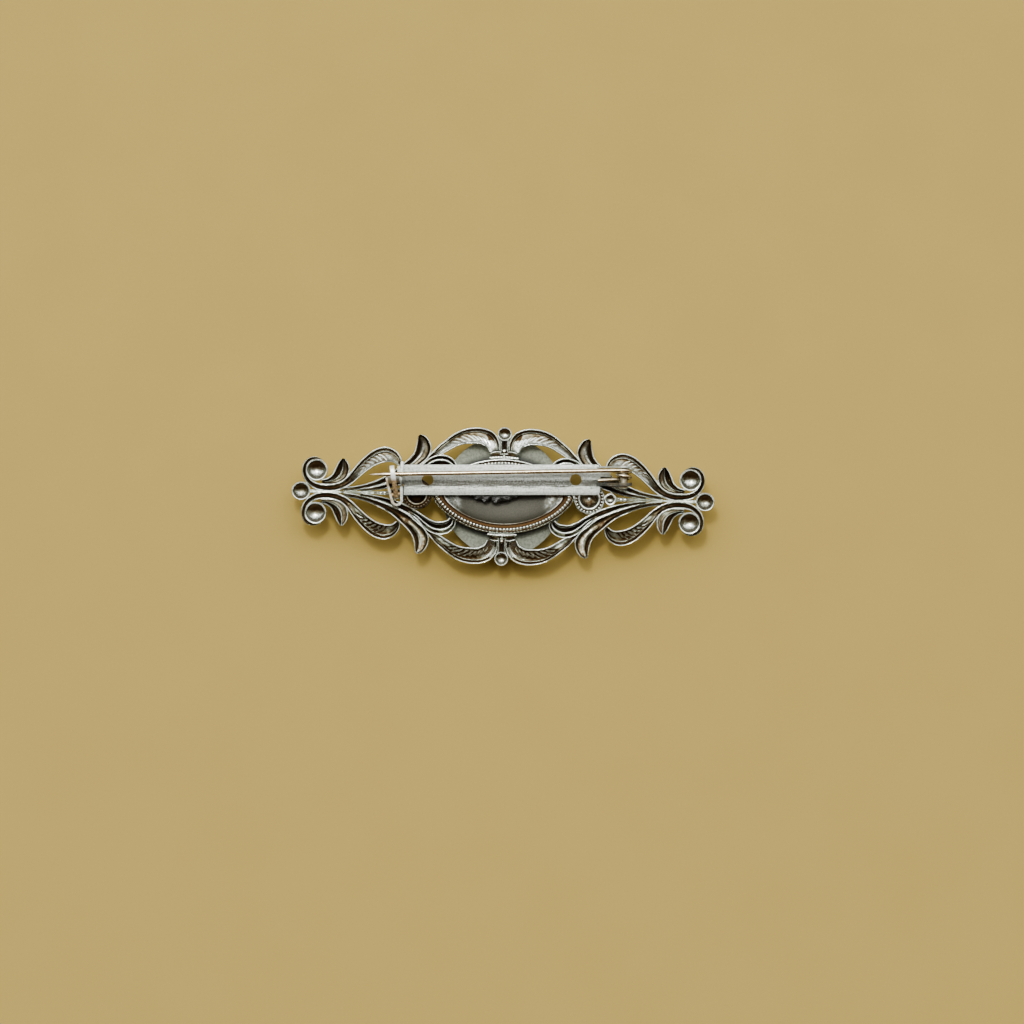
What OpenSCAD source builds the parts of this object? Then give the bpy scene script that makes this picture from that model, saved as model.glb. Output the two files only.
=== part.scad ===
// Openwork bar brooch lying face down: +Z is the back of the brooch,
// X runs along the pin bar, and the origin is under the middle on the resting plane.

/* [Ornament] */
// Height of the ornament's back rims above the resting plane
rim_z = 5.4; // [5:0.1:6.5]
// Turn of the ornament under the bar, in degrees
ornament_turn = -1.6; // [-3:0.1:3]
// Thickness of the stamped sheet below the troughs
sheet = 0.45; // [0.35:0.05:0.6]
// Width of the raised rim along each trough
rim = 0.2; // [0.15:0.01:0.28]
// Depth of the deepest leaf trough, which the tables' depths are parts of
trough_depth = 1.2; // [0.8:0.1:1.5]
// Corners on the round part of a trough's section
trough_sides = 3; // [3:1:4]

/* [Oval] */
// Half length and half width of the oval's outer rim
oval_rim = [11.1, 5.8]; // [3:0.1:12]
// Half length and half width of the middle of the beaded ring
oval_beads = [10.3, 5.15]; // [3:0.1:12]
// Half length and half width of the dome's edge
oval_dome = [9.4, 4.4]; // [3:0.1:12]
// Depth of the hollow dome behind the oval
dome_depth = 1.85; // [1.2:0.05:1.9]
// Beads round the oval
bead_count = 40; // [32:4:56]
// Radius of one bead on the oval
bead_r = 0.26; // [0.15:0.01:0.3]

/* [Cups] */
// Place of a side cup on the long axis
side_cup_x = 13.4; // [13:0.1:13.8]
// Outer radius of a side cup
side_cup_r = 2.42; // [2.2:0.01:2.5]
// Place of the middle of a curl cup
curl_cup_at = [29.05, 3.35]; // [0:0.05:32]
// Outer radius of a curl cup
curl_cup_r = 1.7; // [1.5:0.05:1.8]
// Place of an end cup on the long axis
end_cup_x = 31.4; // [31:0.05:32]
// Outer radius of an end cup
end_cup_r = 1.45; // [1.3:0.05:1.5]
// Place of the top and bottom knobs on the short axis
knob_y = 9.7; // [9.5:0.05:9.9]
// Outer radius of a knob
knob_r = 1.08; // [0.9:0.02:1.2]

/* [Disc] */
// Radius of the disc on the front
disc_r = 9.4; // [9:0.1:10]
// Thickness of the disc
disc_t = 3; // [2.5:0.1:3]
// Radius of the flat on the disc's face
disc_flat_r = 6.9; // [6:0.1:8]

/* [Bar] */
// Length of the bar's plate
bar_l = 30.4; // [28:0.1:31]
// Width of the bar's plate
bar_w = 4.68; // [4.5:0.01:4.8]
// Thickness of the bar's plate
bar_t = 0.5; // [0.4:0.05:0.6]
// Middle of the plate along X and Y
bar_at = [-0.2, 2.57]; // [-3:0.01:3]
// Radius of the two holes in the plate
hole_r = 0.9; // [0.7:0.05:1]
// Distance between the two holes
hole_gap = 23; // [20:0.5:24]

/* [Hinge] */
// Place of the hinge's axis along X
hinge_x = 18.7; // [18.4:0.05:18.8]
// Height of the hinge's axis
hinge_z = 6.9; // [6.8:0.05:7.1]
// Radius of the rivet's shank
rivet_r = 0.55; // [0.5:0.01:0.57]
// Radius of the rivet's heads
rivet_head_r = 0.85; // [0.75:0.05:1]
// Thickness of the ear that carries the rivet's head
ear_t = 0.5; // [0.4:0.05:0.5]
// Thickness of the thin ear beside the stem
thin_ear_t = 0.25; // [0.2:0.05:0.4]

/* [Pin wire] */
// Radius of the wire
wire_r = 0.33; // [0.3:0.01:0.34]
// Radius from the hinge's axis to the middle of the wire in the coil
coil_r = 0.95; // [0.94:0.01:1]
// Length of the sharpened tip
tip_l = 2.4; // [1.5:0.1:3]
// Place of the very tip along X
tip_x = -20.6; // [-21:0.1:-20]
// Place of the wire along Y at the tip
tip_y = 3.38; // [3.2:0.01:3.6]

/* [Catch] */
// Middle of the catch along X
catch_x = -17; // [-17.2:0.01:-16.9]
// Turn of the catch about the wire, in degrees
catch_turn = 8; // [0:1:8]
// Width over both cheeks at the wire
catch_w = 2.5; // [2.3:0.05:2.6]
// Radius of the catch's round end
catch_end_r = 0.94; // [0.88:0.01:1]
// Thickness of a cheek
cheek_t = 0.36; // [0.3:0.01:0.4]
// Place of the lock's axis along Y, before the catch's turn
lock_y = 0.3; // [0.2:0.05:0.4]
// Height of the lock's axis
lock_z = 6.6; // [6.5:0.05:6.7]
// Radius of the lock's trunnions
trunnion_r = 0.3; // [0.25:0.01:0.35]

/* [Hidden] */

fine = 32;
skin = 0.05;
fit = 0.05;
over = 0.4;
lap = 0.1;
pointed = 0.72;
thin = 0.01;

plate_z = rim_z + skin;
plate_top = plate_z + bar_t;
stem_z = hinge_z + coil_r;
lowest_y = bar_at.y - bar_w / 2;
highest_y = bar_at.y + bar_w / 2;
plate_end_x = bar_at.x + bar_l / 2;
plate_start_x = bar_at.x - bar_l / 2;
ear_low_y = 1.6;
ear_high_y = 4.4;
ear_r = 1.3;
rivet_l = ear_high_y + thin_ear_t - ear_low_y;
coil_ys = [4.02, 3.37, 2.72];
stem_y = coil_ys[0];
bead_h = 0.4;
oval_groove_h = 0.3;
cup_groove = [0.75, 0.35];
wire_slope = atan((stem_y - tip_y) / (hinge_x - tip_x));
tail_l = 4;
tail_rise = 6.5;
tail_turn = 4;
catch_y = tip_y + (catch_x - tip_x) * tan(wire_slope);
catch_end_y = -0.6;
cheek_end_y = catch_y + 0.15;
cheek_top = stem_z - wire_r - 0.08;
catch_floor_y = 2.1;
flange = [0.35, 2, 1.5];
lock_w = 0.76;

// Troughs of one quarter of the ornament, from the tip or curl of each to its root.
// Columns: x, y, half width over the rims, depth as a part of trough_depth
ARC_LEAF = [
  [1.50, 7.00, 0.90, 0.6], [1.75, 8.00, 1.15, 0.8], [2.45, 8.85, 1.32, 1.0], [3.55, 9.30, 1.35, 1.0],
  [4.90, 9.35, 1.30, 1.0], [6.30, 9.10, 1.18, 1.0], [7.60, 8.55, 1.02, 1.0], [8.80, 7.75, 0.88, 0.9],
  [9.90, 6.95, 0.78, 0.8], [11.0, 6.05, 0.55, 0.6], [12.3, 4.95, 0.38, 0.5], [13.8, 3.80, 0.28, 0.4]];
CORNER_LEAF = [
  [13.4, 9.20, 0.14, 0.3], [13.05, 8.75, 0.55, 0.5], [12.65, 8.05, 1.0, 0.8], [12.55, 7.05, 1.3, 0.9],
  [12.95, 6.05, 1.22, 1.0], [13.9, 5.0, 1.02, 1.0], [15.3, 3.8, 0.95, 0.9], [17.1, 2.65, 0.68, 0.8],
  [19.0, 1.78, 0.54, 0.7], [21.0, 1.08, 0.43, 0.6], [23.0, 0.62, 0.38, 0.5], [24.8, 0.42, 0.38, 0.4]];
CRESCENT = [
  [7.70, 3.75, 0.60, 0.6], [8.05, 4.50, 0.88, 0.8], [8.85, 5.05, 1.05, 1.0], [9.90, 5.20, 1.07, 1.0],
  [10.95, 4.95, 0.98, 1.0], [12.0, 4.3, 0.8, 0.9], [13.2, 3.35, 0.62, 0.8], [14.7, 2.5, 0.6, 0.8],
  [16.4, 1.75, 0.58, 0.8], [18.2, 1.1, 0.44, 0.7], [20.2, 0.65, 0.34, 0.5], [22.2, 0.35, 0.3, 0.4]];
SIDE_LEAF = [
  [16.15, 4.45, 0.42, 0.5], [16.6, 5.25, 0.78, 0.7], [17.35, 5.8, 1.07, 1.0], [18.4, 6.0, 1.25, 1.0],
  [19.6, 5.7, 1.22, 1.0], [20.8, 4.95, 1.1, 1.0], [21.9, 4.0, 0.98, 0.9], [22.9, 2.95, 0.85, 0.9],
  [23.8, 1.95, 0.72, 0.8], [24.9, 1.15, 0.64, 0.8], [26.3, 0.66, 0.62, 0.8], [27.8, 0.6, 0.58, 0.8],
  [29.1, 0.85, 0.54, 0.7], [30.1, 1.45, 0.47, 0.7], [30.75, 2.35, 0.42, 0.6], [30.95, 3.4, 0.38, 0.5],
  [30.7, 4.35, 0.36, 0.4], [30.0, 4.98, 0.32, 0.4], [29.1, 5.15, 0.26, 0.3], [28.2, 4.82, 0.13, 0.2]];
BUD_OUTER = [
  [25.15, 5.12, 0.28, 0.3], [25.45, 4.3, 0.52, 0.5], [25.7, 3.4, 0.56, 0.7], [26.2, 2.6, 0.54, 0.7],
  [27.0, 2.0, 0.5, 0.6], [28.1, 1.6, 0.42, 0.5]];
BUD_INNER = [
  [24.75, 5.0, 0.3, 0.3], [24.45, 4.2, 0.55, 0.5], [24.45, 3.3, 0.64, 0.7], [24.8, 2.4, 0.58, 0.7],
  [25.5, 1.65, 0.45, 0.5]];
FOOT = [[0.0, 6.35, 0.55, 0.4], [1.1, 6.45, 0.6, 0.5], [2.1, 6.25, 0.5, 0.4]];
COLUMN = [[0, 9.0, 0.7, 0.5], [0, 8.2, 0.64, 0.5], [0, 7.4, 0.64, 0.4], [0, 6.5, 0.7, 0.4]];
SPINE = [[17.3, 0, 0.34, 0.3], [19.6, 0, 0.25, 0.3], [22.5, 0, 0.2, 0.3], [26, 0, 0.19, 0.2],
         [30.2, 0, 0.3, 0.2]];
QUARTER = [ARC_LEAF, CORNER_LEAF, CRESCENT, SIDE_LEAF, BUD_OUTER, BUD_INNER, FOOT];

// Round bowls on the axes and at the curls.
// Columns: place, outer radius, hollow radius, depth, sides
SIDE_CUP = [[side_cup_x, 0], side_cup_r, side_cup_r - 0.95, 1.2, 18];
CURL_CUP = [curl_cup_at, curl_cup_r, curl_cup_r - rim, 1.2, 14];
END_CUP = [[end_cup_x, 0], end_cup_r, end_cup_r - rim, 1.1, 14];
AXIS_BEAD = [[16.65, 0], 0.95, 0.75, 0.6, 10];
KNOB = [[0, knob_y], knob_r, knob_r - rim, 0.8, 12];

// Direction along a trough at row i of its table
function heading(rows, i) =
  let (a = rows[max(i - 1, 0)], b = rows[min(i + 1, len(rows) - 1)], d = [b.x - a.x, b.y - a.y])
  d / norm(d);

// How far the section at row i moves along its trough, so that a hollow stops short of both ends
function end_step(rows, i, side) = side < 0 && i == 0 ? -side : side < 0 && i == len(rows) - 1 ? side : 0;

// Round section of a trough at row i, grown sideways by side and down by drop, and raised by lift
function section(rows, i, side, drop, lift) =
  let (row = rows[i], t = heading(rows, i), n = [-t.y, t.x])
  let (w = max(row[2] + side, 0.05), d = row[3] * trough_depth + drop, step = end_step(rows, i, side))
  let (x = row.x + t.x * step, y = row.y + t.y * step)
  concat(
    lift > 0 ? [[x + n.x * w, y + n.y * w, rim_z + lift]] : [],
    [for (k = [0:trough_sides])
      let (a = 180 * k / trough_sides)
      [x + n.x * w * cos(a), y + n.y * w * cos(a), rim_z - d * sin(a)]],
    lift > 0 ? [[x - n.x * w, y - n.y * w, rim_z + lift]] : []);

// Triangles between rings of n points each, and a face on each end
function ring_faces(rings, n) =
  concat(
    [for (i = [0:rings - 2], k = [0:n - 1], half = [0, 1])
      let (a = i * n + k, b = i * n + (k + 1) % n)
      half == 0 ? [a, b, b + n] : [a, b + n, a + n]],
    [[for (k = [n - 1:-1:0]) k], [for (k = [0:n - 1]) (rings - 1) * n + k]]);

// Solid swept through the rows of each table
module troughs(tables, side, drop, lift) {
  for (rows = tables) {
    rings = [for (i = [0:len(rows) - 1]) section(rows, i, side, drop, lift)];
    polyhedron(points = [for (ring = rings, p = ring) p], faces = ring_faces(len(rings), len(rings[0])));
  }
}

// Smallest convex solid round a list of points
module wrap(points) {
  hull() polyhedron(points = points, faces = [[for (i = [0:len(points) - 1]) i]]);
}

// Pointed oval of half length a and half width b, as points at height z
function oval(size, z, steps = 14) =
  let (xs = [for (k = [0:steps]) -cos(180 * k / steps)])
  let (half = [for (x = xs) [x * size.x, size.y * pow(max(1 - x * x, 0), pointed)]])
  concat([for (p = half) [p.x, p.y, z]], [for (k = [steps - 1:-1:1]) [half[k].x, -half[k].y, z]]);

// Convex solid through pointed ovals that shrink with depth, raised by top at the rim
module oval_bowl(size, depth, top) {
  slices = [for (a = [0, 25, 50, 75]) oval(size * cos(a), rim_z - depth * sin(a))];
  wrap(concat(oval(size, rim_z + top), slices[0], slices[1], slices[2], slices[3]));
}

// Round bowl of radius r and the given depth, sunk below the rim plane
module bowl(at, r, depth, top, sides) {
  translate([at.x, at.y, rim_z])
    hull() {
      translate([0, 0, -thin]) cylinder(r = r, h = thin + top, $fn = sides);
      for (a = [30, 65])
        translate([0, 0, -depth * sin(a)]) cylinder(r = r * cos(a), h = thin, $fn = sides);
    }
}

// Outer forms of the troughs and bowls in the given tables
module outer_forms(tables, bowls) {
  troughs(tables, 0, sheet, 0);
  for (b = bowls) bowl(b[0], b[1], b[3] + sheet, 0, b[4]);
}

// Hollows of the same troughs and bowls, where each bowl's rim stands clear of the troughs
module hollows(tables, bowls) {
  difference() {
    troughs(tables, -rim, 0, over);
    for (b = bowls) bowl(b[0], b[1], b[3] + sheet, 1, b[4]);
  }
  for (b = bowls) bowl(b[0], b[2], b[3], over, b[4]);
}

module both_ends() {
  for (m = [0, 1]) mirror([m, 0, 0]) children();
}

module both_sides() {
  for (m = [0, 1]) mirror([0, m, 0]) children();
}

module ornament_body() {
  both_ends() {
    both_sides() outer_forms(QUARTER, [CURL_CUP]);
    outer_forms([SPINE], [SIDE_CUP, END_CUP, AXIS_BEAD]);
  }
  both_sides() outer_forms([COLUMN], [KNOB]);
  oval_bowl(oval_rim, dome_depth + sheet, 0);
}

// What the oval and the bowls on the axes keep clear of the troughs that run into them
module axis_forms() {
  both_ends() outer_forms([], [SIDE_CUP, END_CUP, AXIS_BEAD]);
  both_sides() outer_forms([], [KNOB]);
  oval_bowl(oval_rim, dome_depth + sheet, 1);
}

module side_cup_groove() {
  translate([side_cup_x, 0, rim_z - cup_groove[1]])
    linear_extrude(cup_groove[1] + over)
      difference() {
        circle(r = side_cup_r - rim, $fn = SIDE_CUP[4]);
        circle(r = side_cup_r - cup_groove[0], $fn = SIDE_CUP[4]);
      }
}

module oval_groove() {
  translate([0, 0, rim_z - oval_groove_h])
    linear_extrude(oval_groove_h + over)
      difference() {
        polygon([for (p = oval(oval_rim - [rim, rim], 0)) [p.x, p.y]]);
        polygon([for (p = oval(oval_dome + [rim, rim], 0)) [p.x, p.y]]);
      }
}

module ornament_hollows() {
  difference() {
    union() {
      both_ends() {
        both_sides() hollows(QUARTER, [CURL_CUP]);
        troughs([SPINE], -rim, 0, over);
      }
      both_sides() troughs([COLUMN], -rim, 0, over);
    }
    axis_forms();
  }
  both_ends() {
    hollows([], [SIDE_CUP, END_CUP, AXIS_BEAD]);
    side_cup_groove();
  }
  both_sides() hollows([], [KNOB]);
  oval_bowl(oval_dome, dome_depth, over);
  oval_groove();
}

module oval_bead_ring() {
  for (k = [0:bead_count - 1]) {
    a = 360 * (k + 0.5) / bead_count;
    x = cos(a);
    translate([oval_beads.x * x, sign(sin(a)) * oval_beads.y * pow(1 - x * x, pointed), rim_z - bead_h])
      cylinder(r1 = bead_r, r2 = bead_r * 0.5, h = bead_h, $fn = 4);
  }
}

module ornament() {
  color([0.78, 0.79, 0.76])
    rotate([0, 0, ornament_turn]) {
      difference() {
        ornament_body();
        ornament_hollows();
      }
      oval_bead_ring();
    }
}

// Eased front edge of the disc. Columns: distance in from the disc's radius, height
DISC_EDGE = [[1.2, 0.3], [0.4, 0.9], [0, 1.8]];

// Round disc with a flat face below, an eased front edge and a flat back
module front_disc() {
  back_ease = 0.15;
  color([0.53, 0.56, 0.49])
    rotate_extrude($fn = 96)
      polygon(concat(
        [[0, 0], [disc_flat_r, 0]],
        [for (p = DISC_EDGE) [disc_r - p[0], p[1]]],
        [[disc_r, disc_t - back_ease], [disc_r - back_ease, disc_t], [0, disc_t]]));
}

// Lump of bonding compound: wide under the bar, narrow near the floor of the dome's hollow.
// Columns: height above the hollow's floor, middle along y, half length, half width
PAD_SLICES = [[0.25, 0.4, 1.9, 0.9], [0.9, 0.7, 3.6, 1.7], [dome_depth - 0.02, 1.0, 4.3, 2.1]];
PAD_X = -1.4;
module bond_pad() {
  color([0.16, 0.17, 0.15])
    hull()
      for (p = PAD_SLICES)
        translate([PAD_X, p[1], rim_z - dome_depth + p[0]])
          scale([p[2], p[3], 1]) cylinder(r = 1, h = thin, $fn = 24);
}

// Ear of the hinge, standing on the plate's end, from y to y + t
module ear(y, t) {
  root_x = plate_end_x - 0.5;
  translate([0, y + t, 0]) rotate([90, 0, 0])
    linear_extrude(t) {
      translate([hinge_x, hinge_z]) circle(r = ear_r, $fn = fine);
      polygon([[root_x, plate_z], [hinge_x, hinge_z - ear_r],
               [hinge_x - ear_r * 0.8, hinge_z + ear_r * 0.5], [root_x, plate_top]]);
    }
}

// Outline of the catch seen from above, shrunk by inset: sides that widen from a round end up to y = reach
module catch_outline(inset, reach) {
  r = catch_end_r - inset;
  w = catch_w / 2 - inset;
  translate([0, catch_end_y]) circle(r = r, $fn = fine);
  polygon([[-r, catch_end_y], [r, catch_end_y], [w, catch_floor_y], [w, reach],
           [-w, reach], [-w, catch_floor_y]]);
}

// Moves its children from a catch drawn straight on the Y axis to its turned place
module in_catch() {
  translate([catch_x, catch_y, 0]) rotate([0, 0, catch_turn]) translate([0, -catch_y, 0]) children();
}

// Two cheeks joined round the end, with a floor under the wire alone
module catch_housing() {
  in_catch() difference() {
    union() {
      translate([0, 0, plate_z]) linear_extrude(cheek_top - plate_z) difference() {
        catch_outline(0, cheek_end_y);
        catch_outline(cheek_t, cheek_end_y + 1);
      }
      translate([-catch_w / 2, catch_floor_y, plate_z]) cube([catch_w, cheek_end_y - catch_floor_y, bar_t]);
    }
    translate([-catch_w, lock_y, lock_z]) rotate([0, 90, 0])
      cylinder(r = trunnion_r + fit, h = 2 * catch_w, $fn = fine);
  }
}

// Flat plate with its two holes, the tongue under the coil and the root and flange of the catch
module bar_plate() {
  tongue = [1.7, 1.3];
  tongue_y = 3.05;
  root = [1, highest_y - catch_floor_y - 0.2];
  difference() {
    union() {
      translate([plate_start_x, lowest_y, plate_z]) cube([bar_l, bar_w, bar_t]);
      translate([plate_end_x - lap, tongue_y, plate_z]) cube([tongue.x + lap, tongue.y, bar_t]);
      translate([plate_start_x - root.x, catch_floor_y, plate_z]) cube([root.x + lap, root.y, bar_t]);
      translate([plate_start_x - flange.x - lap, highest_y - 1.5, plate_z]) cube(flange + [lap, 0, 0]);
    }
    for (s = [-1, 1])
      translate([bar_at.x + s * hole_gap / 2, bar_at.y, plate_z - 1])
        cylinder(r = hole_r, h = bar_t + 2, $fn = fine);
  }
}

module bar() {
  color([0.72, 0.74, 0.7])
    difference() {
      union() {
        bar_plate();
        ear(ear_low_y, ear_t);
        ear(ear_high_y, thin_ear_t);
        catch_housing();
      }
      translate([hinge_x, 0, hinge_z]) rotate([-90, 0, 0])
        cylinder(r = rivet_r + fit, h = 2 * ear_high_y, $fn = fine);
    }
}

// Rivet along Y with a domed head at the thick ear and a flat one at the thin ear
module hinge_rivet() {
  head_t = 0.45;
  end_t = 0.12;
  stand_out = 0.1;
  color([0.66, 0.67, 0.63])
    translate([hinge_x, ear_low_y, hinge_z]) rotate([-90, 0, 0]) {
      translate([0, 0, -stand_out]) cylinder(r = rivet_r, h = rivet_l + 2 * stand_out, $fn = fine);
      translate([0, 0, -skin - head_t]) cylinder(r1 = rivet_r, r2 = rivet_head_r, h = head_t, $fn = fine);
      translate([0, 0, rivet_l + skin]) cylinder(r1 = rivet_head_r, r2 = rivet_r, h = end_t, $fn = fine);
    }
}

// Coil of the wire round the rivet, as rings side by side with a plain bore
module coil() {
  bore_r = coil_r - wire_r * 0.97;
  translate([hinge_x, 0, hinge_z]) rotate([90, 0, 0])
    rotate_extrude($fn = 48)
      intersection() {
        union() {
          for (y = coil_ys) translate([coil_r, -y]) circle(r = wire_r, $fn = 20);
          translate([bore_r, -coil_ys[0]]) square([wire_r * 1.2, coil_ys[0] - coil_ys[2]]);
        }
        translate([bore_r, -coil_ys[0] - 1]) square([2, coil_ys[0] + 1]);
      }
}

// Stem from over the coil to the sharpened tip, and the tail from under the coil to over the plate's end
module pin_wire() {
  stem_l = (hinge_x - tip_x) / cos(wire_slope);
  tip_r = 0.06;
  past_top = 0.25;
  color([0.82, 0.8, 0.74]) {
    coil();
    translate([hinge_x, stem_y, stem_z - thin]) rotate([0, 0, wire_slope]) rotate([0, -90, 0]) {
      translate([0, 0, -past_top]) cylinder(r = wire_r, h = stem_l - tip_l + past_top, $fn = 24);
      translate([0, 0, stem_l - tip_l]) cylinder(r1 = wire_r, r2 = tip_r, h = tip_l, $fn = 24);
    }
    translate([hinge_x, coil_ys[2], hinge_z - coil_r + thin]) rotate([0, 0, tail_turn])
      rotate([0, tail_rise - 90, 0])
        translate([0, 0, lap]) cylinder(r = wire_r, h = tail_l, $fn = 24);
  }
}

// Lever seen along its axis: the boss, the arm and the tongue hooked over the wire
module lock_profile() {
  boss_r = 0.62;
  over_wire = stem_z + wire_r + 0.09;
  tongue_top = over_wire + 0.36;
  translate([lock_y, lock_z]) circle(r = boss_r, $fn = fine);
  polygon([
    [lock_y - 0.35, lock_z + 0.5], [lock_y + 1.5, stem_z + 0.2], [catch_y - 0.4, tongue_top],
    [catch_y + 0.75, tongue_top - 0.06], [catch_y + 1.28, stem_z + 0.2], [catch_y + 1.34, stem_z - 0.3],
    [catch_y + 1.0, stem_z - 0.34], [catch_y + 0.88, stem_z + 0.1], [catch_y + 0.5, over_wire],
    [catch_y - 0.45, over_wire], [lock_y + 1.2, lock_z + 0.25], [lock_y + 0.5, lock_z - 0.35]]);
}

// Lock lever with its trunnions, which sit in the cheeks' bores
module safety_lock() {
  trunnion_l = 2 * catch_end_r + 0.1;
  color([0.8, 0.8, 0.76])
    in_catch() {
      translate([-lock_w / 2, 0, 0]) rotate([90, 0, 90]) linear_extrude(lock_w) lock_profile();
      translate([-trunnion_l / 2, lock_y, lock_z]) rotate([0, 90, 0])
        cylinder(r = trunnion_r, h = trunnion_l, $fn = fine);
    }
}

ornament();
front_disc();
bond_pad();
bar();
hinge_rivet();
pin_wire();
safety_lock();
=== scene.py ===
"""Dresses an openwork bar brooch that lies face down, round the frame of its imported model."""
import logging
import math
from dataclasses import dataclass
from enum import Enum
from typing import Sequence

import bpy
import numpy as np
from mathutils import Matrix, Vector


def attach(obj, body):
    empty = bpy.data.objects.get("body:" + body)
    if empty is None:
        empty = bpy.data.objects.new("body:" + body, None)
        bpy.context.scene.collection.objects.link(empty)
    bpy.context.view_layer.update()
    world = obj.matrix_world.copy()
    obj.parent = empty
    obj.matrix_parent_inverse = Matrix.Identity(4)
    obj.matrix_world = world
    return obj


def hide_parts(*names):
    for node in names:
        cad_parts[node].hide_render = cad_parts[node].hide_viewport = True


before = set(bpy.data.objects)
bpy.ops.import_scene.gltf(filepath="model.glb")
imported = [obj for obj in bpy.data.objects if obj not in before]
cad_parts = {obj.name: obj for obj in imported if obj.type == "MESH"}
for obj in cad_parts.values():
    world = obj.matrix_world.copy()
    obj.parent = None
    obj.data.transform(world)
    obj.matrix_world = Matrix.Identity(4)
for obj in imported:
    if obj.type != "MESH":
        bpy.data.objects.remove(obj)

LOG = logging.getLogger("brooch")
MM = 0.001
SEAM = 1e-4
SHARP = 35.0
SEED = 11

Point = tuple[float, float]
Row = tuple[float, float, float, float]
Colour = tuple[float, float, float]
Piece = bpy.types.Object
Material = bpy.types.Material
Tree = bpy.types.NodeTree
Node = bpy.types.Node
Socket = bpy.types.NodeSocket

# Heights over the rims between which a cutter clears a form's place.
CLEARED: Point = (-3.0, 1.0)


class Body(Enum):
    """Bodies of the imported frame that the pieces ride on."""

    BROOCH = "brooch"
    PIN = "pin"
    LOCK = "lock"


class Cut(Enum):
    """Ways in which one solid changes another."""

    ADD = "UNION"
    REMOVE = "DIFFERENCE"


class Axis(Enum):
    """Turns that lay a piece made round Z along another axis."""

    X = Matrix.Rotation(math.pi / 2, 4, "Y")
    Y = Matrix.Rotation(-math.pi / 2, 4, "X")
    Z = Matrix.Identity(4)


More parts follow.
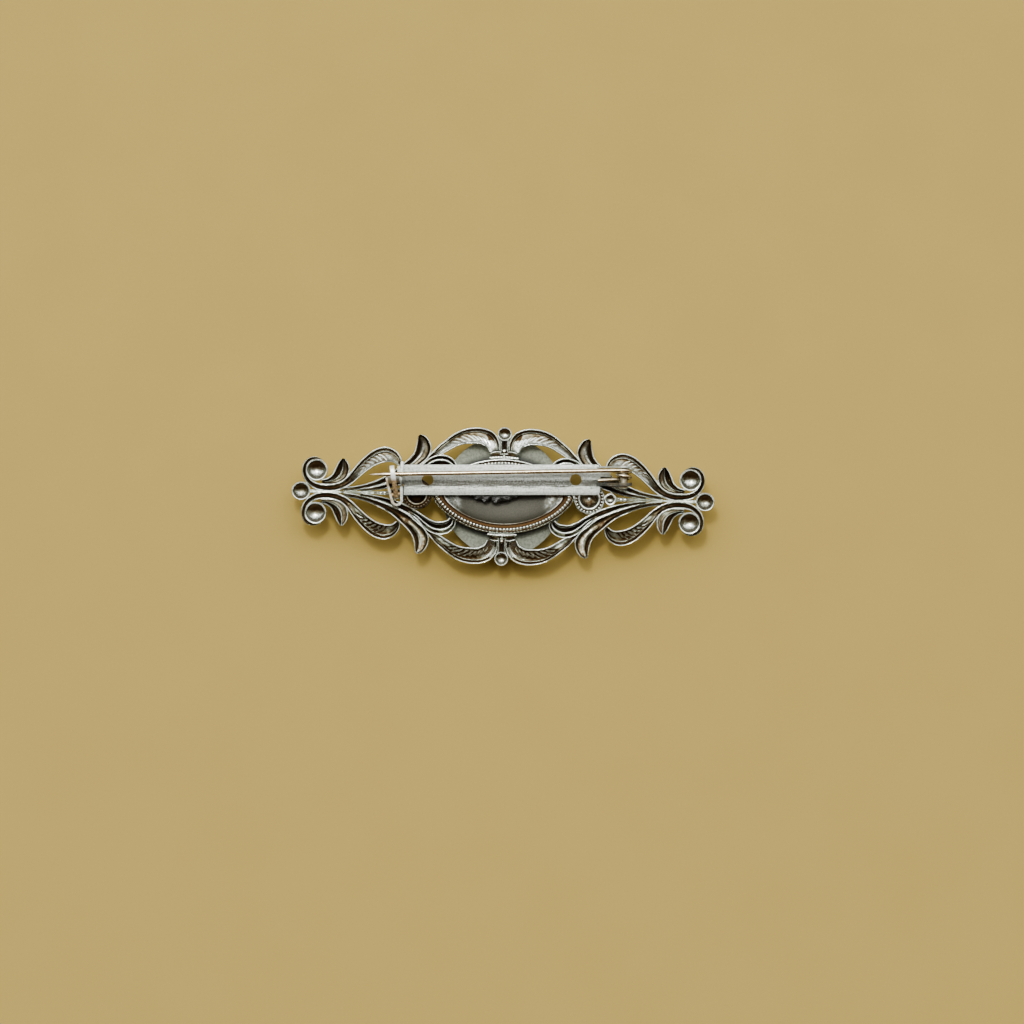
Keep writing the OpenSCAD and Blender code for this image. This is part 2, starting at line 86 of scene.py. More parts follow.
class Workbench:
    """Modelling steps that the pieces share. Sizes here are in millimetres."""

    @staticmethod
    def pick(*pieces: Piece) -> None:
        """Selects only the given pieces and makes the first one active.

        Args:
            pieces: the pieces to select.
        """
        bpy.ops.object.select_all(action="DESELECT")
        for piece in pieces:
            piece.select_set(True)
        bpy.context.view_layer.objects.active = pieces[0]

    @staticmethod
    def latest(name: str) -> Piece:
        """Names the object that was added last and gives it.

        Args:
            name: the new name.

        Returns:
            The object.
        """
        piece = bpy.context.object
        piece.name = name
        return piece

    @staticmethod
    def points(piece: Piece) -> np.ndarray:
        """Gives a mesh's points as an array of rows x, y, z.

        Args:
            piece: the mesh to read.

        Returns:
            The points, in the mesh's order.
        """
        flat = np.empty(len(piece.data.vertices) * 3)
        piece.data.vertices.foreach_get("co", flat)
        return flat.reshape(-1, 3)

    @staticmethod
    def place(piece: Piece, points: np.ndarray) -> None:
        """Moves a mesh's points to the given rows x, y, z."""
        piece.data.vertices.foreach_set("co", points.ravel())
        piece.data.update()

    @staticmethod
    def close(piece: Piece) -> None:
        """Merges doubled points, fills open ends and turns the faces outwards.

        Args:
            piece: the mesh to mend.
        """
        Workbench.pick(piece)
        bpy.ops.object.mode_set(mode="EDIT")
        bpy.ops.mesh.select_all(action="SELECT")
        bpy.ops.mesh.remove_doubles(threshold=SEAM)
        bpy.ops.mesh.fill_holes(sides=0)
        bpy.ops.mesh.normals_make_consistent(inside=False)
        bpy.ops.object.mode_set(mode="OBJECT")

    @staticmethod
    def modify(piece: Piece, kind: str, **settings: object) -> None:
        """Adds a modifier with the given settings and applies it.

        Args:
            piece: the piece to change.
            kind: the modifier's type.
            settings: the modifier's properties.
        """
        Workbench.pick(piece)
        modifier = piece.modifiers.new(kind.lower(), kind)
        for key, value in settings.items():
            setattr(modifier, key, value)
        bpy.ops.object.modifier_apply(modifier=modifier.name)

    @staticmethod
    def combine(piece: Piece, tool: Piece, cut: Cut) -> None:
        """Adds a solid to a piece or cuts it away, and deletes the tool."""
        Workbench.modify(piece, "BOOLEAN", operation=cut.value, solver="MANIFOLD", object=tool)
        bpy.data.objects.remove(tool)

    @staticmethod
    def join(pieces: Sequence[Piece]) -> Piece:
        """Joins several meshes into the first one.

        Args:
            pieces: the meshes to join.

        Returns:
            The first piece, with the others in it.
        """
        Workbench.pick(*pieces)
        if len(pieces) > 1:
            bpy.ops.object.join()
        return pieces[0]

    @staticmethod
    def copy(piece: Piece, move: Matrix) -> Piece:
        """Copies a piece with a mesh of its own, moved by a matrix.

        Args:
            piece: the piece to copy.
            move: where the copy goes. A mirror turns its faces over again.

        Returns:
            The new object, which stands at the origin.
        """
        twin = piece.copy()
        twin.data = piece.data.copy()
        bpy.context.collection.objects.link(twin)
        twin.data.transform(move)
        if move.determinant() < 0:
            twin.data.flip_normals()
        return twin

    @staticmethod
    def tube(name: str, rings: np.ndarray) -> Piece:
        """Wraps a grid through rings of points and closes its seam and its ends.

        Args:
            name: the new object's name.
            rings: an array of rings, points in a ring, and x, y, z.

        Returns:
            The closed solid.
        """
        rows, around = rings.shape[0] - 1, rings.shape[1]
        bpy.ops.object.select_all(action="DESELECT")
        bpy.ops.mesh.primitive_grid_add(x_subdivisions=rows, y_subdivisions=around, size=1)
        piece = Workbench.latest(name)
        flat = Workbench.points(piece)
        along = np.rint((flat[:, 0] + 0.5) * rows).astype(int)
        aside = np.rint((flat[:, 1] + 0.5) * around).astype(int) % around
        Workbench.place(piece, rings[along, aside])
        Workbench.close(piece)
        return piece

    @staticmethod
    def turned(name: str, profile: Sequence[Point], at: Sequence[float], axis: Axis = Axis.Z,
               steps: int = 48) -> Piece:
        """Spins a profile of radius and height round an axis.

        Args:
            name: the new object's name.
            profile: points from the axis outwards and back to the axis.
            at: where the profile's zero height stands.
            axis: direction of the axis.
            steps: faces round the axis.

        Returns:
            The closed solid.
        """
        bpy.ops.object.select_all(action="DESELECT")
        bpy.ops.mesh.primitive_circle_add(vertices=len(profile), fill_type="NOTHING")
        piece = Workbench.latest(name)
        Workbench.place(piece, np.array([(r, 0, z) for r, z in profile], dtype=float))
        on_axis = [i for i, (r, _) in enumerate(profile) if r < SEAM]
        bpy.ops.object.mode_set(mode="EDIT")
        bpy.ops.mesh.select_all(action="DESELECT")
        bpy.ops.object.mode_set(mode="OBJECT")
        for edge in piece.data.edges:
            edge.select = all(i in on_axis for i in edge.vertices)
        bpy.ops.object.mode_set(mode="EDIT")
        bpy.ops.mesh.delete(type="EDGE")
        bpy.ops.mesh.select_all(action="SELECT")
        bpy.ops.mesh.spin(steps=steps, angle=2 * math.pi, center=(0, 0, 0), axis=(0, 0, 1))
        bpy.ops.object.mode_set(mode="OBJECT")
        Workbench.close(piece)
        piece.data.transform(Matrix.Translation(at) @ axis.value)
        return piece

    @staticmethod
    def drill(piece: Piece, radius: float, at: Sequence[float], axis: Axis, steps: int,
              reach: float = 3.0) -> None:
        """Cuts a round hole through a piece.

        Args:
            piece: the piece to drill.
            radius: the hole's radius.
            at: a point on the hole's axis.
            axis: direction of the axis.
            steps: faces round the hole.
            reach: how far the hole goes to both sides of the point.
        """
        profile = ((0, -reach), (radius, -reach), (radius, reach), (0, reach))
        Workbench.combine(piece, Workbench.turned("drill", profile, at, axis, steps), Cut.REMOVE)

    @staticmethod
    def slab(name: str, outline: Sequence[Point], thickness: float) -> Piece:
        """Extrudes a flat outline upwards from the floor.

        Args:
            name: the new object's name.
            outline: corners as x, y, counter-clockwise.
            thickness: height of the extrusion.

        Returns:
            The closed solid, standing on z = 0.
        """
        bpy.ops.object.select_all(action="DESELECT")
        bpy.ops.mesh.primitive_circle_add(vertices=len(outline), fill_type="NGON")
        piece = Workbench.latest(name)
        Workbench.place(piece, np.array([(x, y, 0) for x, y in outline], dtype=float))
        bpy.ops.object.mode_set(mode="EDIT")
        bpy.ops.mesh.select_all(action="SELECT")
        bpy.ops.mesh.extrude_region_move(TRANSFORM_OT_translate={"value": (0, 0, thickness)})
        bpy.ops.object.mode_set(mode="OBJECT")
        Workbench.close(piece)
        return piece

    @staticmethod
    def rod(name: str, path: np.ndarray, radii: np.ndarray, sides: int) -> Piece:
        """Makes a round rod of changing radius along a path.

        Args:
            name: the new object's name.
            path: rows x, y, z.
            radii: the rod's radius at each row.
            sides: faces round the rod.

        Returns:
            The closed solid.
        """
        ahead = headings(path)
        side = np.cross(ahead[0], (0.0, 0.0, 1.0))
        angles = np.linspace(0, 2 * math.pi, sides, endpoint=False)[:, None]
        rings = []
        for centre, way, radius in zip(path, ahead, radii):
            side = side - way * side.dot(way)
            side /= np.linalg.norm(side)
            rings.append(centre + radius * (np.cos(angles) * side + np.sin(angles) * np.cross(way, side)))
        return Workbench.tube(name, np.array(rings))

    @staticmethod
    def round_edges(piece: Piece, width: float, segments: int = 2) -> None:
        """Rounds the sharp edges of a piece."""
        Workbench.modify(piece, "BEVEL", width=width, segments=segments, limit_method="ANGLE",
                         angle_limit=math.radians(SHARP), use_clamp_overlap=True, harden_normals=False)

    @staticmethod
    def thin(piece: Piece, most: int) -> None:
        """Merges the smallest faces until a piece has no more than so many triangles."""
        piece.data.calc_loop_triangles()
        Workbench.modify(piece, "DECIMATE", ratio=min(1.0, most / len(piece.data.loop_triangles)))

    @staticmethod
    def deliver(piece: Piece, name: str, body: Body, slot: str, material: Material, nodes: Sequence[str],
                degrees: float) -> None:
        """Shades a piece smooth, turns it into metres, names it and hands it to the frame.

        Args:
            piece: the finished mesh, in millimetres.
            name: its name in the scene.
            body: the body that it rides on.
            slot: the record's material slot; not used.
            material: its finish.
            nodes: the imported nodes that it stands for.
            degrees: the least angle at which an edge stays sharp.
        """
        Workbench.pick(piece)
        bpy.ops.object.shade_smooth_by_angle(angle=math.radians(degrees))
        piece.data.transform(Matrix.Scale(MM, 4))
        piece.name = name
        piece.data.name = name
        piece.data.materials.clear()
        piece.data.materials.append(material)
        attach(piece, body.value)
        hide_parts(*nodes)
        LOG.info("%s: %d faces, rides on %s", name, len(piece.data.polygons), body.value)


def curve_through(rows: Sequence[Sequence[float]], step: float) -> np.ndarray:
    """Runs a smooth curve through the rows of a table.

    Args:
        rows: points with any number of columns, of which x and y come first.
        step: distance between the points that are returned.

    Returns:
        Rows of the same columns.
    """
    knots = np.array(rows, dtype=float)
    ends = np.vstack([2 * knots[0] - knots[1], knots, 2 * knots[-1] - knots[-2]])
    stretches = []
    for before, start, stop, after in zip(ends, ends[1:], ends[2:], ends[3:]):
        length = np.linalg.norm(stop[:2] - start[:2])
        t = np.linspace(0, 1, max(2, round(length / step)), endpoint=False)[:, None]
        stretches.append(0.5 * (2 * start + (stop - before) * t
                                + (2 * before - 5 * start + 4 * stop - after) * t ** 2
                                + (3 * start - before - 3 * stop + after) * t ** 3))
    return np.vstack([*stretches, knots[-1:]])


def headings(line: np.ndarray) -> np.ndarray:
    """Gives a line's unit direction at each of its points."""
    ahead = np.gradient(line, axis=0)
    return ahead / np.linalg.norm(ahead, axis=1, keepdims=True)


def lengths(line: np.ndarray) -> np.ndarray:
    """Gives how far along a line each of its points lies."""
    return np.concatenate([[0], np.cumsum(np.linalg.norm(np.diff(line, axis=0), axis=1))])


def arc(centre: Point, radii: Point, degrees: Sequence[int]) -> list[Point]:
    """Gives the points of an ellipse at the given angles."""
    turns = [math.radians(a) for a in degrees]
    return [(centre[0] + radii[0] * math.cos(a), centre[1] + radii[1] * math.sin(a)) for a in turns]


def ease(low: float, high: float, value: np.ndarray) -> np.ndarray:
    """Rises smoothly from 0 at low to 1 at high."""
    t = np.clip((value - low) / (high - low), 0, 1)
    return t * t * (3 - 2 * t)


class Nodes:
    """Short way to place and join the nodes of one tree."""

    def __init__(self, tree: Tree) -> None:
        """Keeps the tree."""
        self.tree = tree

    def add(self, kind: str, inputs: dict[str | int, object] | None = None, **settings: object) -> Node:
        """Adds a node.

        Args:
            kind: the node's class.
            inputs: sockets by name or place, each with a value or a socket to read.
            settings: the node's own properties.

        Returns:
            The new node.
        """
        node = self.tree.nodes.new(kind)
        for key, value in settings.items():
            setattr(node, key, value)
        for key, value in (inputs or {}).items():
            socket = node.inputs[key] if isinstance(key, int) else self.socket(node, key)
            if isinstance(value, Socket):
                self.tree.links.new(value, socket)
            else:
                socket.default_value = value
        return node

    @staticmethod
    def socket(node: Node, label: str) -> Socket:
        """Finds a node's input by its label among those that are in use."""
        return next(socket for socket in node.inputs if socket.name == label and socket.enabled)

    def group(self, tree: Tree, **inputs: float) -> Node:
        """Places a shared group, whose inputs are written with underscores for spaces."""
        named = {key.replace("_", " "): value for key, value in inputs.items()}
        return self.add("ShaderNodeGroup", named, node_tree=tree)

    def place(self) -> Socket:
        """Gives the point's place on the piece."""
        return self.add("ShaderNodeTexCoord").outputs["Object"]

    def mask(self, attribute: str) -> Socket:
        """Gives the value of one of the mesh's attributes."""
        return self.add("ShaderNodeAttribute", attribute_name=attribute).outputs["Fac"]

    def noise(self, vector: Socket, scale: object, detail: float, roughness: float = 0.5) -> Socket:
        """Gives a noise, about 0 to 1."""
        return self.add("ShaderNodeTexNoise", {"Vector": vector, "Scale": scale, "Detail": detail,
                                               "Roughness": roughness}).outputs["Fac"]

    def ramp(self, factor: Socket, stops: Sequence[tuple[float, Colour]]) -> Socket:
        """Adds a colour ramp and gives its colour.

        Args:
            factor: where on the ramp to read.
            stops: places from 0 to 1, with colours.

        Returns:
            The colour.
        """
        node = self.add("ShaderNodeValToRGB", {"Fac": factor})
        elements = node.color_ramp.elements
        while len(elements) < len(stops):
            elements.new(1.0)
        for element, (place, colour) in zip(elements, stops):
            element.position = place
            element.color = (*colour, 1.0)
        return node.outputs["Color"]

    def spread(self, value: Socket, low: float, high: float) -> Socket:
        """Maps low to high smoothly onto 0 to 1."""
        return self.add("ShaderNodeMapRange", {"Value": value, "From Min": low, "From Max": high},
                        interpolation_type="SMOOTHSTEP").outputs["Result"]

    def between(self, value: Socket, low: float, high: float) -> Socket:
        """Maps 0 to 1 evenly onto low to high."""
        return self.add("ShaderNodeMapRange", {"Value": value, "To Min": low, "To Max": high}
                        ).outputs["Result"]

    def clamp(self, value: Socket) -> Socket:
        """Keeps a value from 0 to 1."""
        return self.add("ShaderNodeClamp", {0: value}).outputs[0]

    def blend(self, factor: Socket, first: object, second: object) -> Socket:
        """Mixes two colours, each a socket or a value, by a factor from 0 to 1."""
        node = self.add("ShaderNodeMix", {"Factor": factor, "A": first, "B": second}, data_type="RGBA")
        return next(socket for socket in node.outputs if socket.enabled)

    def math(self, operation: str, *values: object) -> Socket:
        """Adds a math node and gives its value."""
        return self.add("ShaderNodeMath", dict(enumerate(values)), operation=operation).outputs[0]

    def centred(self, value: Socket) -> Socket:
        """Takes a half off a value."""
        return self.math("SUBTRACT", value, 0.5)

    def rest(self, value: Socket) -> Socket:
        """Takes a value off 1."""
        return self.math("SUBTRACT", 1.0, value)

    def total(self, *parts: tuple[object, float]) -> Socket:
        """Adds up values, each times its weight.

        Args:
            parts: values or sockets, each with its weight.

        Returns:
            The sum.
        """
        value, *others = [part if weight == 1.0 else self.math("MULTIPLY", part, weight)
                          for part, weight in parts]
        for other in others:
            value = self.math("ADD", value, other)
        return value


class Effects:
    """Node groups that more than one finish uses."""

    grain_detail = 3.0
    grain_roughness = 0.6
    patch_detail = 2.0

    @staticmethod
    def _start(name: str, inputs: dict[str, float], outputs: Sequence[str]
               ) -> tuple[Tree, Nodes, Node, Node]:
        """Starts a group with its sockets, and gives the tree, its nodes, its input and its output.

        Args:
            name: the group's name.
            inputs: labels with default values.
            outputs: labels of the outputs.

        Returns:
            The four of them.
        """
        tree = bpy.data.node_groups.new(name, "ShaderNodeTree")
        for label, value in inputs.items():
            socket = tree.interface.new_socket(label, in_out="INPUT", socket_type="NodeSocketFloat")
            socket.default_value = value
        for label in outputs:
            tree.interface.new_socket(label, in_out="OUTPUT", socket_type="NodeSocketFloat")
        nodes = Nodes(tree)
        return tree, nodes, nodes.add("NodeGroupInput"), nodes.add("NodeGroupOutput")

    @staticmethod
    def grain() -> Tree:
        """Fine grain and broad mottling of a cast or stamped surface.

        Returns:
            A group with the outputs Fine and Broad, both about 0 to 1.
        """
        tree, nodes, given, result = Effects._start(
            "surface_grain", {"Fine Scale": 9000.0, "Broad Scale": 1500.0}, ("Fine", "Broad"))
        place = nodes.place()
        for label in ("Fine", "Broad"):
            noise = nodes.noise(place, given.outputs[label + " Scale"], Effects.grain_detail,
                                Effects.grain_roughness)
            tree.links.new(noise, result.inputs[label])
        return tree

    @staticmethod
    def wear_and_crease_shade() -> Tree:
        """Worn edges and painted shade in creases, both found from the mesh's curvature, broken up by
        patches.

        Returns:
            A group with the outputs Edge, the worn edges, and Crease, the painted shade in creases, both 0 to
            1.
        """
        tree, nodes, given, result = Effects._start(
            "edge_wear_and_crease_shade", {"Sharpness": 12.0, "Patch Scale": 900.0}, ("Edge", "Crease"))
        patch = nodes.noise(nodes.place(), given.outputs["Patch Scale"], Effects.patch_detail)
        lift = nodes.centred(nodes.add("ShaderNodeNewGeometry").outputs["Pointiness"])
        steep = nodes.math("MULTIPLY", lift, given.outputs["Sharpness"])
        edge = nodes.math("MULTIPLY", steep, nodes.math("ADD", patch, 0.5))
        # Concave creases come out as painted shade.
        crease = nodes.math("MULTIPLY", edge, -1.0)
        tree.links.new(nodes.clamp(edge), result.inputs["Edge"])
        tree.links.new(nodes.clamp(crease), result.inputs["Crease"])
        return tree


@dataclass(frozen=True)
class Finish:
    """Base of the finishes: a Principled surface with a bump."""

    name: str
    metallic: float = 1.0
    roughness: float = 0.4
    bump: float = 0.2
    bump_size: float = 0.00004

    def open(self) -> tuple[Material, Nodes]:
        """Starts the material and gives it with its nodes.

        Returns:
            The material, and a way to add nodes to it.
        """
        material = bpy.data.materials.new(self.name)
        material.use_nodes = True
        material.node_tree.nodes.clear()
        return material, Nodes(material.node_tree)

    def close(self, nodes: Nodes, colour: object, roughness: object, height: Socket, **more: object) -> None:
        """Ends the material in a Principled surface.

        Args:
            nodes: the material's nodes.
            colour: base colour, as a socket or a value.
            roughness: roughness, as a socket or a value.
            height: the bump's height.
            more: other Principled sockets, with underscores for spaces.
        """
        bump = nodes.add("ShaderNodeBump", {"Height": height, "Strength": self.bump,
                                            "Distance": self.bump_size})
        inputs = {"Base Color": colour, "Roughness": roughness, "Metallic": self.metallic,
                  "Normal": bump.outputs["Normal"]}
        inputs.update({key.replace("_", " "): value for key, value in more.items()})
        surface = nodes.add("ShaderNodeBsdfPrincipled", inputs)
        nodes.add("ShaderNodeOutputMaterial", {"Surface": surface.outputs["BSDF"]})


@dataclass(frozen=True)
class TarnishedSilver(Finish):
    """Stamped white metal, bright on its ridges and brown in its hollows, from tarnish and painted shade.

    The mesh's attribute "hollow" says how far each point lies below its surroundings, in millimetres,
    with tarnish, painted shade and painted highlights added on that scale, and "dull" is 1 where the metal
    was left matte. Creases are darkened as painted shade. The tones run from bright to brown over the
    stains and painted shade given by stain_range, at the stops given by tone_stops.
    """

    hollow: str = "hollow"
    dull: str = "dull"
    matte: Colour = (0.041, 0.039, 0.022)
    bright: Colour = (0.70, 0.75, 0.68)
    grey: Colour = (0.235, 0.245, 0.195)
    olive: Colour = (0.14, 0.115, 0.066)
    brown: Colour = (0.036, 0.019, 0.007)
    tone_stops: tuple[float, ...] = (0.0, 0.17, 0.4, 0.72, 0.95)
    stain_range: Point = (-0.36, 0.8)
    fine_scale: float = 6000.0
    broad_scale: float = 2000.0
    sharpness: float = 5.0
    patches: float = 1.0
    flecks: float = 0.5
    crease_stain_and_shade: float = 0.25
    edge_rub: float = 0.35
    speck_range: Point = (0.3, 0.7)
    speck_shade: float = 0.45
    stained_roughness: float = 0.5
    dull_roughness: float = 0.55
    dull_loss: float = 0.55
    broad_height: float = 2.0

    def make(self, grain: Tree, wear_and_crease_shade: Tree) -> Material:
        """Builds the material from the shared groups.

        Args:
            grain: the shared grain group.
            wear_and_crease_shade: the shared group of worn edges and painted shade in creases.

        Returns:
            The material.
        """
        material, nodes = self.open()
        spots = nodes.group(grain, Fine_Scale=self.fine_scale, Broad_Scale=self.broad_scale).outputs
        rubbed = nodes.group(wear_and_crease_shade, Sharpness=self.sharpness).outputs
        depth, dull = nodes.mask(self.hollow), nodes.mask(self.dull)
        # Tarnish, painted shade and painted highlights from the hollow attribute, painted shade in the
        # creases, and grain, less the rubbed edges.
        stain_and_shade = nodes.total(
            (depth, 1.0), (nodes.centred(spots["Broad"]), self.patches),
            (nodes.centred(spots["Fine"]), self.flecks), (rubbed["Crease"], self.crease_stain_and_shade),
            (rubbed["Edge"], -self.edge_rub))
        factor = nodes.spread(stain_and_shade, *self.stain_range)
        tones = (self.bright, self.bright, self.grey, self.olive, self.brown)
        stained_and_shaded_metal = nodes.ramp(factor, tuple(zip(self.tone_stops, tones)))
        speck = tuple(self.speck_shade * part for part in self.matte)
        speckle = nodes.ramp(nodes.spread(spots["Fine"], *self.speck_range),
                             ((0.0, speck), (1.0, self.matte)))
        colour = nodes.blend(dull, stained_and_shaded_metal, speckle)
        roughness = nodes.math("MAXIMUM", nodes.between(factor, self.roughness, self.stained_roughness),
                               nodes.math("MULTIPLY", dull, self.dull_roughness))
        height = nodes.total((spots["Fine"], 1.0), (spots["Broad"], self.broad_height))
        metallic = nodes.math("SUBTRACT", self.metallic, nodes.math("MULTIPLY", dull, self.dull_loss))
        self.close(nodes, colour, roughness, height, Metallic=metallic)
        return material


@dataclass(frozen=True)
class SatinPlate(Finish):
    """Plated steel of the pin finding: satin grain along the bar, with stains where parts meet.

    Dark drawn lines run along the bar, a painted soft shadow of the wire runs along the groove at
    channel_y, and dirt lies beyond bar_end at the hinge and the catch.
    """

    light: Colour = (0.64, 0.69, 0.62)
    shade: Colour = (0.055, 0.055, 0.044)
    stain: Colour = (0.27, 0.185, 0.075)
    fine_scale: float = 4600.0
    broad_scale: float = 1100.0
    line_scale: float = 500.0
    line_stretch: float = 14.0
    line_detail: float = 4.0
    line_roughness: float = 0.65
    bar_end: float = 0.0155
    dirt_reach: float = 0.0012
    hinge_dirt: float = 0.35
    channel_y: float = 0.002
    wire_shadow_half_w: float = 0.0008
    wire_shadow_core: float = 0.3
    wire_shadow_wobble: float = 0.0012
    wire_shadow_dark: float = 0.85
    fleck_range: Point = (0.42, 0.68)
    fleck_dark: float = 0.45
    line_range: Point = (0.4, 0.7)
    line_dark: float = 0.25
    patch_range: Point = (0.35, 0.75)
    patch_share: float = 0.6
    pit_range: Point = (0.69, 0.76)
    pit_stain: float = 0.45
    edge_rub: float = 0.3
    rough_range: Point = (-0.08, 0.12)
    line_height: float = 1.5

    def grime_and_painted_shade(self, nodes: Nodes, across: Socket, lines: Socket, fine: Socket) -> Socket:
        """Gives the painted shadow of the wire along the channel, with the grey of the flecks and the drawn
        lines, from 0 to 1.

        Args:
            nodes: the material's nodes.
            across: the place across the bar.
            lines: the drawn lines.
            fine: the fine grain.

        Returns:
            The amount of grey.
        """
        # The wire's shadow is painted as a dark band along the bar at channel_y, its edge wavering with the
        # drawn lines.
        wobble = nodes.math("MULTIPLY", nodes.centred(lines), self.wire_shadow_wobble)
        off = nodes.math("SUBTRACT", nodes.math("ADD", across, wobble), self.channel_y)
        outside = nodes.spread(nodes.math("ABSOLUTE", off), self.wire_shadow_half_w * self.wire_shadow_core,
                               self.wire_shadow_half_w)
        return nodes.clamp(nodes.total(
            (nodes.rest(outside), self.wire_shadow_dark),
            (nodes.spread(fine, *self.fleck_range), self.fleck_dark),
            (nodes.spread(lines, *self.line_range), self.line_dark)))

    def dirt(self, nodes: Nodes, along: Socket, fine: Socket, broad: Socket, edge: Socket) -> Socket:
        """Gives the brown stain of the hinge, the catch and the pits, from 0 to 1.

        Args:
            nodes: the material's nodes.
            along: the place along the bar.
            fine: the fine grain.
            broad: the broad grain.
            edge: the worn edges.

        Returns:
            The amount of brown.
        """
        reach = (self.bar_end, self.bar_end + self.dirt_reach)
        hinge = nodes.spread(along, *reach)
        catch = nodes.spread(nodes.math("MULTIPLY", along, -1.0), *reach)
        ends = nodes.math("MAXIMUM", nodes.math("MULTIPLY", hinge, self.hinge_dirt), catch)
        patches = nodes.math("MULTIPLY", nodes.spread(broad, *self.patch_range), self.patch_share)
        dirt = nodes.math("MULTIPLY", ends, nodes.math("ADD", patches, 0.5))
        pits = nodes.math("MULTIPLY", nodes.spread(fine, *self.pit_range), self.pit_stain)
        return nodes.clamp(nodes.total((nodes.math("MAXIMUM", dirt, pits), 1.0), (edge, -self.edge_rub)))

    def make(self, grain: Tree, wear_and_crease_shade: Tree) -> Material:
        """Builds the material from the shared groups.

        Args:
            grain: the shared grain group.
            wear_and_crease_shade: the shared group of worn edges and painted shade in creases.

        Returns:
            The material.
        """
        material, nodes = self.open()
        spots = nodes.group(grain, Fine_Scale=self.fine_scale, Broad_Scale=self.broad_scale).outputs
        rubbed = nodes.group(wear_and_crease_shade).outputs
        place = nodes.place()
        stretch = (1.0, self.line_stretch, self.line_stretch)
        drawn = nodes.add("ShaderNodeMapping", {"Vector": place, "Scale": stretch}).outputs["Vector"]
        lines = nodes.noise(drawn, self.line_scale, self.line_detail, self.line_roughness)
        split = nodes.add("ShaderNodeSeparateXYZ", {0: place}).outputs
        metal = nodes.ramp(self.grime_and_painted_shade(nodes, split["Y"], lines, spots["Fine"]),
                           ((0.0, self.light), (1.0, self.shade)))
        dirt = self.dirt(nodes, split["X"], spots["Fine"], spots["Broad"], rubbed["Edge"])
        colour = nodes.blend(dirt, metal, (*self.stain, 1.0))
        roughness = nodes.between(lines, *(self.roughness + step for step in self.rough_range))
        self.close(nodes, colour, roughness, nodes.total((lines, self.line_height), (spots["Fine"], 1.0)))
        return material


@dataclass(frozen=True)
class PlainGrain(Finish):
    """Surface of one colour that a fine and a broad grain vary.

    Where oval is set, a shadow is painted on the surface beneath a pointed oval of that half length and half
    width.
    """

    light: Colour = (0.8, 0.8, 0.8)
    dark: Colour = (0.6, 0.6, 0.6)
    fine_scale: float = 9000.0
    broad_scale: float = 1500.0
    mottle_range: Point = (0.35, 0.65)
    crease_dark: float = 0.5
    shine: float = 0.5
    oval: Point = (0.0, 0.0)
    oval_power: float = 0.72
    oval_shadow_reach: float = 0.0013
    oval_shadow_dark: float = 0.1

    def under_oval(self, nodes: Nodes) -> Socket:
        """Gives the mask of the painted shadow: 1 beneath the pointed oval, and 0 beyond its reach.

        Args:
            nodes: the material's nodes.

        Returns:
            The mask.
        """
        split = nodes.add("ShaderNodeSeparateXYZ", {0: nodes.place()}).outputs
        ratio = nodes.math("DIVIDE", split["X"], self.oval[0])
        left = nodes.math("MAXIMUM", nodes.rest(nodes.math("MULTIPLY", ratio, ratio)), 0.0)
        edge = nodes.math("MULTIPLY", nodes.math("POWER", left, self.oval_power), self.oval[1])
        beyond = nodes.math("SUBTRACT", nodes.math("ABSOLUTE", split["Y"]), edge)
        return nodes.rest(nodes.spread(beyond, 0.0, self.oval_shadow_reach))

    def make(self, grain: Tree, wear_and_crease_shade: Tree) -> Material:
        """Builds the material from the shared groups.

        Args:
            grain: the shared grain group.
            wear_and_crease_shade: the shared group of worn edges and painted shade in creases.

        Returns:
            The material.
        """
        material, nodes = self.open()
        spots = nodes.group(grain, Fine_Scale=self.fine_scale, Broad_Scale=self.broad_scale).outputs
        rubbed = nodes.group(wear_and_crease_shade).outputs
        mixed = nodes.total((spots["Fine"], 0.5), (spots["Broad"], 0.5))
        # Creases are darkened as painted shade, on top of the mottling.
        shade = nodes.total((nodes.spread(mixed, *self.mottle_range), 1.0),
                            (rubbed["Crease"], self.crease_dark))
        colour = nodes.ramp(nodes.clamp(shade), ((0.0, self.light), (1.0, self.dark)))
        # Paints the shadow that the oval's rim casts on the disc.
        if self.oval[0] > 0:
            unlit = tuple(self.oval_shadow_dark * part for part in self.dark)
            colour = nodes.blend(self.under_oval(nodes), colour, (*unlit, 1.0))
        self.close(nodes, colour, self.roughness, mixed, Specular_IOR_Level=self.shine)
        return material


@dataclass(frozen=True)
class RubbedShadedLever(Finish):
    """Browned steel whose tongue, beyond a place along Y, has been rubbed bright; the brown along its arm is
    partly painted shade between the catch's cheeks.
    """

    light: Colour = (0.46, 0.34, 0.17)
    dark: Colour = (0.17, 0.10, 0.04)
    rubbed: Colour = (0.88, 0.92, 0.90)
    rubbed_range: Point = (0.0023, 0.0029)
    fine_scale: float = 4000.0
    mottle_range: Point = (0.35, 0.65)
    crease_dark: float = 0.6

    def make(self, grain: Tree, wear_and_crease_shade: Tree) -> Material:
        """Builds the material from the shared groups.

        Args:
            grain: the shared grain group.
            wear_and_crease_shade: the shared group of worn edges and painted shade in creases.

        Returns:
            The material.
        """
        material, nodes = self.open()
        fine = nodes.group(grain, Fine_Scale=self.fine_scale).outputs["Fine"]
        crease = nodes.group(wear_and_crease_shade).outputs["Crease"]
        along = nodes.add("ShaderNodeSeparateXYZ", {0: nodes.place()}).outputs["Y"]
        # Creases are darkened as painted shade, on top of the mottling.
        shade = nodes.math("ADD", nodes.spread(fine, *self.mottle_range), crease)
        # The arm's brown is partly painted shade, where the arm lies between the catch's cheeks.
        brown = nodes.ramp(nodes.clamp(shade), ((0.0, self.light), (1.0, self.dark)))
        open_face = nodes.rest(nodes.math("MULTIPLY", crease, self.crease_dark))
        bright = nodes.math("MULTIPLY", nodes.spread(along, *self.rubbed_range), open_face)
        colour = nodes.blend(bright, brown, (*self.rubbed, 1.0))
        self.close(nodes, colour, self.roughness, fine)
        return material


